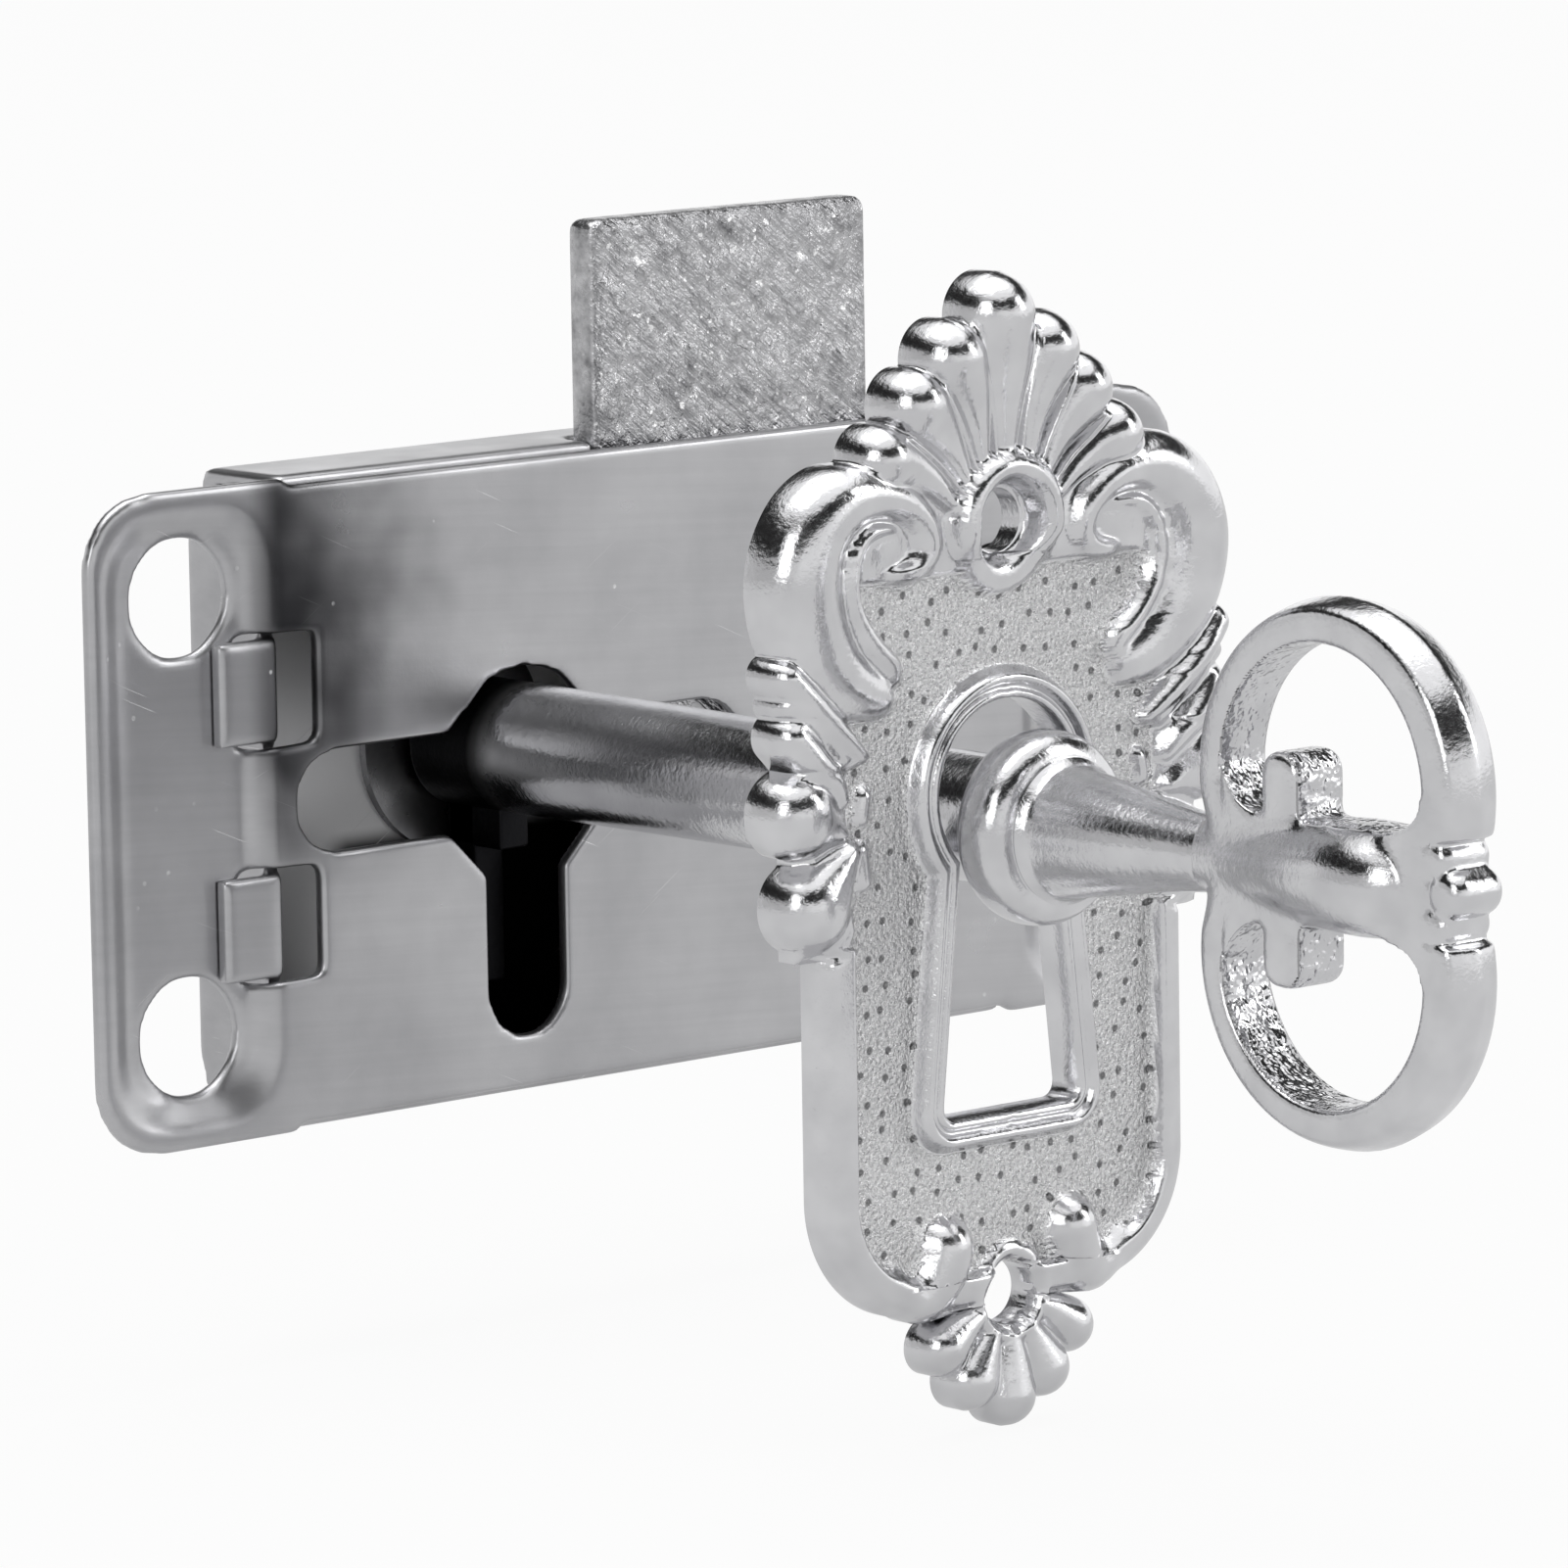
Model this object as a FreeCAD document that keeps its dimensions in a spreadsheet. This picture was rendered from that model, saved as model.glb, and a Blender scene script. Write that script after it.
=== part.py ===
import FreeCAD, Part
import math
import os
import types
import Sketcher
from FreeCAD import Placement, Rotation, Vector

# Antique cabinet lock with its escutcheon and barrel key, in millimetres.
# Origin: centre of the face plate, on the face that lies against the inside of the door.
# +X to the right seen from the outside of the door, +Y into the cabinet, +Z up.

driving = {
    # face plate of the lock
    "sheetThickness": 0.8,
    "plateRim": 0.95,
    "plateSetback": 0.35,
    "plateCornerRadius": 3.7,
    "wellDepth": 0.9,
    "wellWidth": 10.0,
    "wellLap": 0.1,
    "wellCornerRadius": 3.2,
    "wellSlope": 1.45,
    "wellBackMargin": 0.35,
    "screwHoleRadius": 2.85,
    "screwSideGap": 0.9,
    "screwCornerGap": 0.05,
    # keyhole in the face plate
    "keyholeX": -8.7,
    "keyholeRadius": 5.3,
    "keyholeSlotWidth": 4.86,
    "keyholeSideReach": 14.1,
    "keyholeDownReach": 12.9,
    "keyholeBevelShare": 0.89,
    # folded case behind the plate
    "caseWidth": 48.6,
    "caseHeight": 31.7,
    "caseDepth": 6.8,
    "caseFoldRadius": 0.75,
    "foldGap": 0.4,
    "clipHeight": 3.4,
    "clipDepth": 1.4,
    "tabWidth": 5.0,
    "tabReach": 3.0,
    "tabCentreZ": 5.7,
    "tabSlotMargin": 0.2,
    "tabSlotLap": 2.8,
    # bolt
    "slideGap": 0.1,
    "boltThickness": 1.9,
    "boltClear": 0.4,
    "boltWidth": 18.1,
    "boltRest": 0.3,
    "boltFloorGap": 0.35,
    "boltCornerRadius": 0.6,
    "boltEdgeRadius": 0.3,
    "boltThrow": 10.5,
    "hornThickness": 0.95,
    "bossMargin": 0.6,
    "talonBite": 1.1,
    "talonFloorGap": 0.4,
    "talonGap": 0.3,
    # riveted inner pieces
    "rivetFit": 0.05,
    "rivetHeadHeight": 0.45,
    "studRadius": 1.5,
    "studInset": 5.7,
    "studTailRadius": 1.1,
    "studHeadRadius": 1.9,
    "slotGap": 0.1,
    "slotLand": 1.3,
    "pinRadius": 1.45,
    "pinTip": -2.0,
    "pinTipHeight": 0.9,
    "pinFlangeRadius": 5.6,
    "pinFlangeThickness": 0.5,
    "pinTailRadius": 1.5,
    "pinHeadRadius": 2.3,
    "springThickness": 0.35,
    "springWidth": 4.0,
    "springRoom": 1.1,
    "springRise": 6.4,
    "springFootFar": 5.9,
    "springFootNear": 1.3,
    "springCrestInset": 2.1,
    "springTipInset": 3.8,
    "springGap": 0.08,
    "springRivetFar": 3.7,
    "springRivetRadius": 1.0,
    "springRivetHead": 1.8,
    # key
    "keyAxisZ": 1.3,
    "boreFit": 0.05,
    "barrelEndGap": 0.3,
    "barrelRadius": 3.25,
    "barrelNeckRadius": 3.0,
    "barrelChamfer": 0.25,
    "boreDepth": 13.2,
    "collarStandoff": 4.1,
    "collarHalfWidth": 1.6,
    "collarRadius": 4.55,
    "neckRadius": 3.1,
    "neckEndRadius": 1.75,
    "neckLength": 11.9,
    "dropRadius": 2.35,
    "dropReach": 0.7,
    "dropNoseLength": 3.4,
    "dropHollow": 0.12,
    "dropShoulder": 0.72,
    "bowThickness": 3.2,
    "bowReach": 20.0,
    "bowLoopRadius": 8.0,
    "bowLoopOffset": 4.1,
    "bowEdgeBevel": 0.4,
    "bowHoleRadius": 6.3,
    "bowHoleShift": 0.3,
    "bowWebHalf": 2.4,
    "prongShift": 2.8,
    "prongHalf": 1.2,
    "prongTop": 5.2,
    "tipLobeReach": 7.4,
    "tipLobeRadius": 1.15,
    "sideLobeReach": 6.6,
    "sideLobeZ": 1.8,
    "sideLobeRadius": 0.9,
    "bitThickness": 1.8,
    "bitRadius": 12.0,
    "bitStepRadius": 5.1,
    "bitSetback": 0.2,
    "bitGap": 0.15,
    # escutcheon: plate, field and border
    "escutcheonBack": -33.0,
    "escutcheonRim": 2.1,
    "fieldRecess": 0.9,
    "rimBevel": 0.7,
    "borderWidth": 2.0,
    "bodyHalfWidth": 11.3,
    "bodyTop": -4.0,
    "bodyCornerStart": -15.2,
    "bodyCornerRadius": 6.2,
    "waistStep": 1.3,
    "waistBottom": -1.8,
    "waistTop": 6.2,
    "fieldBottomHalf": 3.4,
    "fieldBottom": -17.4,
    "fieldWaistInset": 3.6,
    "fieldWaistZ": 6.9,
    "fieldTopHalf": 3.0,
    "fieldTop": 12.2,
    # escutcheon: nail holes and keyhole
    "nailHoleRadius": 1.5,
    "nailTopZ": 15.3,
    "nailBottomZ": -20.9,
    "nailRingRadius": 2.6,
    "nailRingHeight": 2.45,
    "slotRoundRadius": 4.3,
    "slotRoundZ": 2.8,
    "slotTopHalf": 3.05,
    "slotBottomHalf": 4.35,
    "slotBottomZ": -12.3,
    "slotRimWidth": 1.0,
    "slotRimHeight": 0.9,
    # escutcheon: fans of lobes, set out at an even pitch on two slopes
    "reliefPlane": 0.9,
    "crownTipZ": 25.0,
    "crownPitch": 3.61,
    "crownSlopeTop": 28.0,
    "crownSlopeSide": 46.0,
    "crownRootZ": 17.4,
    "crownLobeRadius": 1.95,
    "crownLobeRoot": 0.7,
    "footTipZ": -25.8,
    "footPitch": 2.9,
    "footSlopeTop": 31.0,
    "footSlopeSide": 46.0,
    "footRootZ": -21.6,
    "footLobeRadius": 1.5,
    "footLobeRoot": 0.5,
    "lobeTaper": 0.1,
    "lobeGather": 0.22,
    # escutcheon: C-scroll on each shoulder
    "scrollRadius": 4.1,
    "scrollWire": 1.35,
    "scrollInset": 2.4,
    "scrollZ": 12.2,
    # escutcheon: drops of relief on each side, from a root to a tip, each set in from the
    # body's side or, below zero, out past it
    "leafRootInset": 5.0,
    "leafRootZ": 6.0,
    "leafTipInset": -0.9,
    "leafTipZ": 11.2,
    "leafRootRadius": 1.2,
    "leafTipRadius": 1.6,
    "curlRootInset": 6.1,
    "curlRootZ": 12.8,
    "curlTipInset": 6.7,
    "curlTipZ": 13.6,
    "curlRootRadius": 0.6,
    "curlTipRadius": 1.7,
    "petalRootInset": 3.9,
    "petalRootZ": 3.0,
    "petalTipInset": -0.6,
    "petalTipZ": 6.6,
    "petalRootRadius": 0.6,
    "petalTipRadius": 1.35,
    "beadRootInset": 3.1,
    "beadRootZ": 0.9,
    "beadTipInset": -1.0,
    "beadTipZ": 2.7,
    "beadRootRadius": 0.7,
    "beadTipRadius": 2.1,
    "budRootInset": 2.9,
    "budRootZ": 0.2,
    "budTipInset": -0.3,
    "budTipZ": -1.4,
    "budRootRadius": 0.7,
    "budTipRadius": 2.0,
    "spurRootInset": 7.3,
    "spurRootZ": -21.4,
    "spurTipInset": 7.8,
    "spurTipZ": -18.4,
    "spurRootRadius": 0.8,
    "spurTipRadius": 1.1,
}

doc = FreeCAD.newDocument("CabinetLock")
sheet = doc.addObject("Spreadsheet::Sheet", "Sizes")
for row, (alias, value) in enumerate(driving.items(), start=1):
    sheet.set(f"A{row}", alias)
    sheet.set(f"B{row}", str(value))
    sheet.setAlias(f"B{row}", alias)
doc.recompute()
size = types.SimpleNamespace(**{alias: float(sheet.get(alias)) for alias in driving})

subParts = []


def cell(text):
    """an expression on the sheet: every word of the text is an alias, numbers stay"""
    words = [f"Sizes.{word}" if word[0].isalpha() else word for word in text.split()]
    return " ".join(words)


def newBody(label):
    body = doc.addObject("PartDesign::Body", label)
    body.Label = label
    subParts.append(body)
    return body


def newSketch(body, name, role, offset=None):
    """a sketch on one of the body's own origin planes, moved along the plane's normal"""
    sketch = body.newObject("Sketcher::SketchObject", name)
    plane = next(item for item in body.Origin.OriginFeatures if item.Role == role)
    sketch.AttachmentSupport = [(plane, "")]
    sketch.MapMode = "FlatFace"
    if offset:
        sketch.setExpression("AttachmentOffset.Base.z", cell(offset))
    return sketch


def closedLoop(sketch, start, steps):
    """lines and arcs from start and back to it: a step of two numbers is a line's end,
    a step of four is a point on an arc and the arc's end"""
    here = Vector(start[0], start[1], 0)
    for step in steps + [start]:
        end = Vector(step[-2], step[-1], 0)
        if len(step) == 4:
            middle = Vector(step[0], step[1], 0)
            sketch.addGeometry(Part.Arc(here, middle, end))
        elif (end - here).Length > 1e-6:
            sketch.addGeometry(Part.LineSegment(here, end))
        here = end


def corner(centre, radius, angle):
    """middle and end of a quarter-round corner that starts at the angle in degrees"""
    half = math.radians(angle + 45)
    full = math.radians(angle + 90)
    return (
        centre[0] + radius * math.cos(half),
        centre[1] + radius * math.sin(half),
        centre[0] + radius * math.cos(full),
        centre[1] + radius * math.sin(full),
    )


def chords(start, middle, end, count):
    """the arc from start through middle to end as straight chords, start left out"""
    arc = Part.Arc(*(Vector(x, y, 0) for x, y in (start, middle, end)))
    return [(point.x, point.y) for point in arc.toShape().discretize(count + 1)[1:]]


def roundedLoop(sketch, low, high, radius):
    """a rectangle between two corners, with its own corners rounded"""
    left, bottom = low[0] + radius, low[1] + radius
    right, top = high[0] - radius, high[1] - radius
    closedLoop(sketch, (right, low[1]), [
        corner((right, bottom), radius, -90),
        (high[0], top),
        corner((right, top), radius, 0),
        (left, high[1]),
        corner((left, top), radius, 90),
        (low[0], bottom),
        corner((left, bottom), radius, 180),
    ])


def boundCircle(sketch, place, radius):
    """a circle at a place, its radius held to the sheet's value of that name"""
    index = sketch.addGeometry(
        Part.Circle(Vector(place[0], place[1], 0), Vector(0, 0, 1), getattr(size, radius))
    )
    held = sketch.addConstraint(Sketcher.Constraint("Radius", index, getattr(size, radius)))
    sketch.setExpression(f"Constraints[{held}]", cell(radius))


def pad(body, name, sketch, length, away=True, centred=False):
    """away runs along +Y from a sketch that stands on the XZ plane"""
    feature = body.newObject("PartDesign::Pad", name)
    feature.Profile = sketch
    if centred:
        feature.SideType = "Symmetric"
    else:
        feature.Reversed = away
    feature.setExpression("Length", cell(length))
    return feature


def pocket(body, name, sketch, length=None, flipped=False):
    feature = body.newObject("PartDesign::Pocket", name)
    feature.Profile = sketch
    feature.Reversed = flipped
    if length:
        feature.setExpression("Length", cell(length))
    else:
        feature.Type = "ThroughAll"
    return feature


def turned(body, name, sketch, axis="V_Axis", angle=360.0, flipped=False):
    feature = body.newObject("PartDesign::Revolution", name)
    feature.Profile = sketch
    feature.ReferenceAxis = (sketch, [axis])
    feature.Angle = angle
    feature.Reversed = flipped
    return feature


def loft(body, name, kind, first, second):
    feature = body.newObject(f"PartDesign::{kind}", name)
    feature.Profile = first
    feature.Sections = [second]
    feature.Ruled = True
    return feature


def edgesWhere(feature, test):
    """names of a feature's edges that pass a test"""
    edges = feature.Shape.Edges
    return [f"Edge{number}" for number, edge in enumerate(edges, start=1) if test(edge)]


def rounded(body, name, feature, radius, test, kind="Fillet"):
    doc.recompute()
    names = edgesWhere(feature, test)
    result = body.newObject(f"PartDesign::{kind}", name)
    result.Base = (feature, names)
    result.setExpression("Radius" if kind == "Fillet" else "Size", cell(radius))
    doc.recompute()
    return result


# Face plate: flat in the middle, with a dished well at each end that sinks the folded
# case tabs below the face that lies on the door.
plate = newBody("front_plate")
wall = size.sheetThickness
halfCase = size.caseWidth / 2
halfCaseHeight = size.caseHeight / 2
foldEnd = halfCase - wall - size.foldGap
wellInner = halfCase - size.wellLap
wellOuter = wellInner + size.wellWidth
halfLength = wellOuter + size.plateRim
halfPlate = halfCaseHeight - size.plateSetback
cornerX = halfLength - size.plateCornerRadius
cornerZ = halfCaseHeight - size.plateCornerRadius
outline = newSketch(plate, "PlateOutline", "XZ_Plane")
closedLoop(outline, (foldEnd, -halfCaseHeight), [
    (cornerX, -halfCaseHeight),
    corner((cornerX, -cornerZ), size.plateCornerRadius, -90),
    (halfLength, cornerZ),
    corner((cornerX, cornerZ), size.plateCornerRadius, 0),
    (foldEnd, halfCaseHeight),
    (foldEnd, halfPlate),
    (-foldEnd, halfPlate),
    (-foldEnd, halfCaseHeight),
    (-cornerX, halfCaseHeight),
    corner((-cornerX, cornerZ), size.plateCornerRadius, 90),
    (-halfLength, -cornerZ),
    corner((-cornerX, -cornerZ), size.plateCornerRadius, 180),
    (-foldEnd, -halfCaseHeight),
    (-foldEnd, -halfPlate),
    (foldEnd, -halfPlate),
])
pad(plate, "Sheet", outline, "sheetThickness")

halfWell = halfCaseHeight - size.plateRim
for side, name in ((-1, "Left"), (1, "Right")):
    ends = sorted((side * wellInner, side * wellOuter))

    def wellSketch(title, offset, inset, radius):
        sketch = newSketch(plate, name + title, "XZ_Plane", offset)
        low = (ends[0] + inset, -halfWell + inset)
        high = (ends[1] - inset, halfWell - inset)
        roundedLoop(sketch, low, high, radius)
        return sketch

    backInset = size.tabSlotMargin
    floorInset = size.wellSlope
    backFloorInset = floorInset - size.wellBackMargin
    floorRadius = size.wellCornerRadius - floorInset / 2
    backRim = wellSketch("BackRim", "0 - sheetThickness", backInset, size.wellCornerRadius)
    backFloor = wellSketch("BackFloor", "0 - wellDepth - sheetThickness", backFloorInset, floorRadius)
    loft(plate, name + "Dish", "AdditiveLoft", backRim, backFloor)
    faceRim = wellSketch("FaceRim", None, 0, size.wellCornerRadius)
    faceFloor = wellSketch("FaceFloor", "0 - wellDepth", floorInset, floorRadius)
    loft(plate, name + "Hollow", "SubtractiveLoft", faceRim, faceFloor)

screwHoles = newSketch(plate, "ScrewHoles", "XZ_Plane")
tabSlots = newSketch(plate, "TabSlots", "XZ_Plane")
halfTab = size.tabWidth / 2
slotOuter = wellInner + size.wellSlope + size.tabSlotMargin
screwX = wellOuter - size.wellSlope - size.screwHoleRadius - size.screwSideGap
screwZ = halfWell - size.wellSlope - size.screwHoleRadius - size.screwCornerGap
for sideX in (-1, 1):
    for sideZ in (-1, 1):
        boundCircle(screwHoles, (sideX * screwX, sideZ * screwZ), "screwHoleRadius")
        slotX = sorted((sideX * (halfCase - size.tabSlotLap), sideX * slotOuter))
        slotZ = sideZ * size.tabCentreZ
        reachZ = halfTab + size.tabSlotMargin
        closedLoop(tabSlots, (slotX[0], slotZ - reachZ), [
            (slotX[1], slotZ - reachZ),
            (slotX[1], slotZ + reachZ),
            (slotX[0], slotZ + reachZ),
        ])
pocket(plate, "ScrewHolePocket", screwHoles)
pocket(plate, "TabSlotPocket", tabSlots)

# The keyhole takes the bit from the left, from below or from the right, so that the lock
# suits a door hung on either side or a drawer. Bevels lead from the slots into the round.
halfSlot = size.keyholeSlotWidth / 2
bevel = size.keyholeRadius * size.keyholeBevelShare
keyX = size.keyholeX
roundSide = math.sqrt(size.keyholeRadius ** 2 - bevel ** 2)
sideEnd = size.keyholeSideReach - halfSlot
downEnd = halfSlot - size.keyholeDownReach
keyhole = newSketch(plate, "Keyhole", "XZ_Plane")
closedLoop(keyhole, (keyX - bevel, halfSlot), [
    (keyX - sideEnd, halfSlot),
    (keyX - size.keyholeSideReach, 0, keyX - sideEnd, -halfSlot),
    (keyX - bevel, -halfSlot),
    (keyX - halfSlot, -bevel),
    (keyX - halfSlot, downEnd),
    (keyX, -size.keyholeDownReach, keyX + halfSlot, downEnd),
    (keyX + halfSlot, -bevel),
    (keyX + bevel, -halfSlot),
    (keyX + sideEnd, -halfSlot),
    (keyX + size.keyholeSideReach, 0, keyX + sideEnd, halfSlot),
    (keyX + bevel, halfSlot),
    (keyX + roundSide, bevel),
    (keyX, size.keyholeRadius, keyX - roundSide, bevel),
])
pocket(plate, "KeyholePocket", keyhole)

# Case: a tray folded from one sheet. The end walls are clipped at their rear corners,
# and two tabs on each end wall pass through the plate and are bent outwards.
case = newBody("case")
caseInner = size.caseDepth - wall
clipZ = halfCaseHeight - size.clipHeight
backWall = newSketch(case, "BackWall", "XZ_Plane", "sheetThickness - caseDepth")
closedLoop(backWall, (-halfCase, -clipZ), [
    (-foldEnd, -clipZ),
    (-foldEnd, -halfCaseHeight),
    (foldEnd, -halfCaseHeight),
    (foldEnd, -clipZ),
    (halfCase, -clipZ),
    (halfCase, clipZ),
    (foldEnd, clipZ),
    (foldEnd, halfCaseHeight),
    (-foldEnd, halfCaseHeight),
    (-foldEnd, clipZ),
    (-halfCase, clipZ),
])
pad(case, "Back", backWall, "sheetThickness")
longWalls = newSketch(case, "LongWalls", "XZ_Plane", "0 - sheetThickness")
for sideZ in (-1, 1):
    heights = sorted((sideZ * halfCaseHeight, sideZ * (halfCaseHeight - wall)))
    closedLoop(longWalls, (-foldEnd, heights[0]), [
        (foldEnd, heights[0]),
        (foldEnd, heights[1]),
        (-foldEnd, heights[1]),
    ])
pad(case, "LongWallPad", longWalls, "caseDepth - sheetThickness")
endWallZ = halfCaseHeight - wall
for side, name in ((-1, "Left"), (1, "Right")):
    profile = newSketch(case, name + "EndWall", "YZ_Plane", f"{side} * caseWidth / 2")
    closedLoop(profile, (wall, -endWallZ), [
        (size.caseDepth - size.clipDepth, -endWallZ),
        (size.caseDepth, -clipZ),
        (size.caseDepth, clipZ),
        (size.caseDepth - size.clipDepth, endWallZ),
        (wall, endWallZ),
    ])
    pad(case, name + "EndWallPad", profile, "sheetThickness", away=side > 0)
    tabTop = size.wellDepth - wall
    tabEnd = side * (halfCase + size.tabReach)
    outer = side * halfCase
    inner = side * (halfCase - wall)
    bend = inner + side * wall
    for sideZ, level in ((-1, "Lower"), (1, "Upper")):
        title = name + level + "Tab"
        tab = newSketch(case, title, "XY_Plane", f"{sideZ} * tabCentreZ - tabWidth / 2")
        half = math.sqrt(0.5)
        closedLoop(tab, (inner, wall + size.rivetFit), [
            (inner, tabTop + wall),
            (bend - side * wall * half, tabTop + wall * (1 - half), bend, tabTop),
            (tabEnd, tabTop),
            (tabEnd, tabTop + wall),
            (outer, tabTop + wall),
            (outer, wall + size.rivetFit),
        ])
        pad(case, title + "Pad", tab, "tabWidth", away=False)

boltFront = size.sheetThickness + size.slideGap
boltBack = boltFront + size.boltThickness
boltLeft = keyX + size.bitStepRadius + size.boltClear
boltRight = boltLeft + size.boltWidth
boltBottom = size.boltThrow + size.boltFloorGap - endWallZ
slotRadius = size.studRadius + size.slotGap
studX = boltRight - size.studInset
studZ = boltBottom + slotRadius + size.slotLand
springZ = boltBottom + size.springRise
springRivetX = boltRight + size.springRivetFar
opening = newSketch(case, "BoltOpening", "XY_Plane", "caseHeight / 2 - sheetThickness * 2")
closedLoop(opening, (boltLeft - size.slideGap * 2, 0), [
    (boltRight + size.slideGap * 2, 0),
    (boltRight + size.slideGap * 2, boltBack + size.slideGap * 2),
    (boltLeft - size.slideGap * 2, boltBack + size.slideGap * 2),
])
pocket(case, "BoltOpeningPocket", opening, "sheetThickness * 3", flipped=True)

rivetHoles = newSketch(case, "RivetHoles", "XZ_Plane")
for x, z, radius in (
    (keyX, size.keyAxisZ, size.pinTailRadius),
    (studX, studZ, size.studTailRadius),
    (springRivetX, springZ, size.springRivetRadius),
):
    rivetHoles.addGeometry(Part.Circle(Vector(x, z, 0), Vector(0, 0, 1), radius + size.rivetFit))
drilled = pocket(case, "RivetHolePocket", rivetHoles)
rounded(
    case, "CaseFolds", drilled, "caseFoldRadius",
    lambda edge: len(edge.Vertexes) == 2
    and all(abs(v.Y - size.caseDepth) < 1e-4 for v in edge.Vertexes)
    and (
        all(abs(abs(v.Z) - halfCaseHeight) < 1e-4 for v in edge.Vertexes)
        or all(abs(abs(v.X) - halfCase) < 1e-4 for v in edge.Vertexes)
    ),
)

# Bolt: a cast plate with a thicker boss behind it. The boss carries the talon recess that
# the bit works in, and a slot that the guide stud runs in. The bit points straight at the
# recess after three quarters of a turn; its corner enters and leaves a little before and
# after that, while the bolt travels on, and this sets the recess's top and bottom.
bolt = newBody("bolt")
boltTop = halfCaseHeight + size.boltThrow + size.boltRest
bossThickness = caseInner - size.springRoom - boltBack
talonTip = size.bitRadius - size.talonBite
bitCorner = math.hypot(size.bitRadius, size.bitThickness / 2)
cornerReach = math.sqrt(bitCorner ** 2 - talonTip ** 2)
halfAngle = math.degrees(
    math.asin(cornerReach / bitCorner) - math.asin(size.bitThickness / 2 / bitCorner)
)
travelIn, travelOut = (
    size.boltThrow * (0.75 + turn / 360) for turn in (-halfAngle, halfAngle)
)
boltPlate = newSketch(bolt, "BoltPlate", "XZ_Plane", "0 - sheetThickness - slideGap")
cornerRadius = size.boltCornerRadius
closedLoop(boltPlate, (boltLeft, boltBottom), [
    (boltRight, boltBottom),
    (boltRight, boltTop - cornerRadius),
    corner((boltRight - cornerRadius, boltTop - cornerRadius), cornerRadius, 0),
    (boltLeft + cornerRadius, boltTop),
    corner((boltLeft + cornerRadius, boltTop - cornerRadius), cornerRadius, 90),
])
pad(bolt, "BoltPlatePad", boltPlate, "boltThickness")
bossLeft = keyX + talonTip
bossFloor = keyX + size.bitRadius + size.talonFloorGap
bossRight = boltRight - size.bossMargin
talonTop = size.keyAxisZ + cornerReach + travelIn + size.talonGap
talonBottom = size.keyAxisZ - cornerReach + travelOut - size.talonGap
bossTop = talonTop + size.hornThickness
boss = newSketch(bolt, "TalonBoss", "XZ_Plane", "0 - sheetThickness - slideGap - boltThickness")
closedLoop(boss, (bossLeft, boltBottom), [
    (bossRight, boltBottom),
    (bossRight, bossTop),
    (bossLeft, bossTop),
    (bossLeft, talonTop),
    (bossFloor, talonTop),
    (bossFloor, talonBottom),
    (bossLeft, talonBottom),
])
pad(
    bolt, "TalonBossPad", boss,
    "caseDepth - springRoom - boltThickness - slideGap - sheetThickness - sheetThickness",
)
guide = newSketch(bolt, "GuideSlot", "XZ_Plane")
slotTop = studZ + size.boltThrow
closedLoop(guide, (studX - slotRadius, studZ), [
    (studX, studZ - slotRadius, studX + slotRadius, studZ),
    (studX + slotRadius, slotTop),
    (studX, slotTop + slotRadius, studX - slotRadius, slotTop),
])
slotted = pocket(bolt, "GuideSlotPocket", guide)
rounded(
    bolt, "BoltEdges", slotted, "boltEdgeRadius",
    lambda edge: all(v.Z > halfCaseHeight - cornerRadius for v in edge.Vertexes)
    and all(
        abs(v.Y - boltFront) < 1e-4 or abs(v.Y - boltBack) < 1e-4 for v in edge.Vertexes
    )
    and abs(edge.Vertexes[0].Y - edge.Vertexes[-1].Y) < 1e-4
    and edge.Vertexes[0].Z + edge.Vertexes[-1].Z > 2 * halfCaseHeight + cornerRadius,
)


def rivet(label, x, z, profile):
    """a turned piece on an axis along Y, from half sections as (radius, Y) steps"""
    body = newBody(label)
    body.setExpression("Placement.Base.x", cell(x))
    body.setExpression("Placement.Base.z", cell(z))
    sketch = newSketch(body, label + "Profile", "XY_Plane")
    closedLoop(sketch, profile[0], profile[1:])
    turned(body, label + "Turning", sketch)
    return body


def dome(head, base, height):
    """a low dome from its rim at the base to its crown on the axis, rim left out"""
    radius = (head ** 2 + height ** 2) / (2 * abs(height))
    drop = radius - math.sqrt(radius ** 2 - (head / 2) ** 2)
    middle = (head / 2, base + height - math.copysign(drop, height))
    return chords((head, base), middle, (0, base + height), 3)


def tailHead(tail, head):
    """steps of a tail through the case back, hammered over into a low dome"""
    return [
        (tail, caseInner),
        (tail, size.caseDepth),
        (head, size.caseDepth),
    ] + dome(head, size.caseDepth, size.rivetHeadHeight)


studFront = boltFront + size.slideGap
boltRightCell = "keyholeX + bitStepRadius + boltClear + boltWidth"
slotFootCell = "boltThrow + boltFloorGap + sheetThickness - caseHeight / 2"
studCell = slotFootCell + " + studRadius + slotGap + slotLand"
springCell = slotFootCell + " + springRise"
rivet("bolt_guide_stud", boltRightCell + " - studInset", studCell, [
    (0, studFront),
    (size.studRadius, studFront),
    (size.studRadius, caseInner),
] + tailHead(size.studTailRadius, size.studHeadRadius))

flangeFront = caseInner - size.pinFlangeThickness
pinShoulder = size.pinTip + size.pinTipHeight
rivet("drill_pin", "keyholeX", "keyAxisZ", dome(size.pinRadius, pinShoulder, -size.pinTipHeight)[::-1] + [
    (size.pinRadius, pinShoulder),
    (size.pinRadius, flangeFront),
    (size.pinFlangeRadius, flangeFront),
    (size.pinFlangeRadius, caseInner),
] + tailHead(size.pinTailRadius, size.pinHeadRadius))

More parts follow.
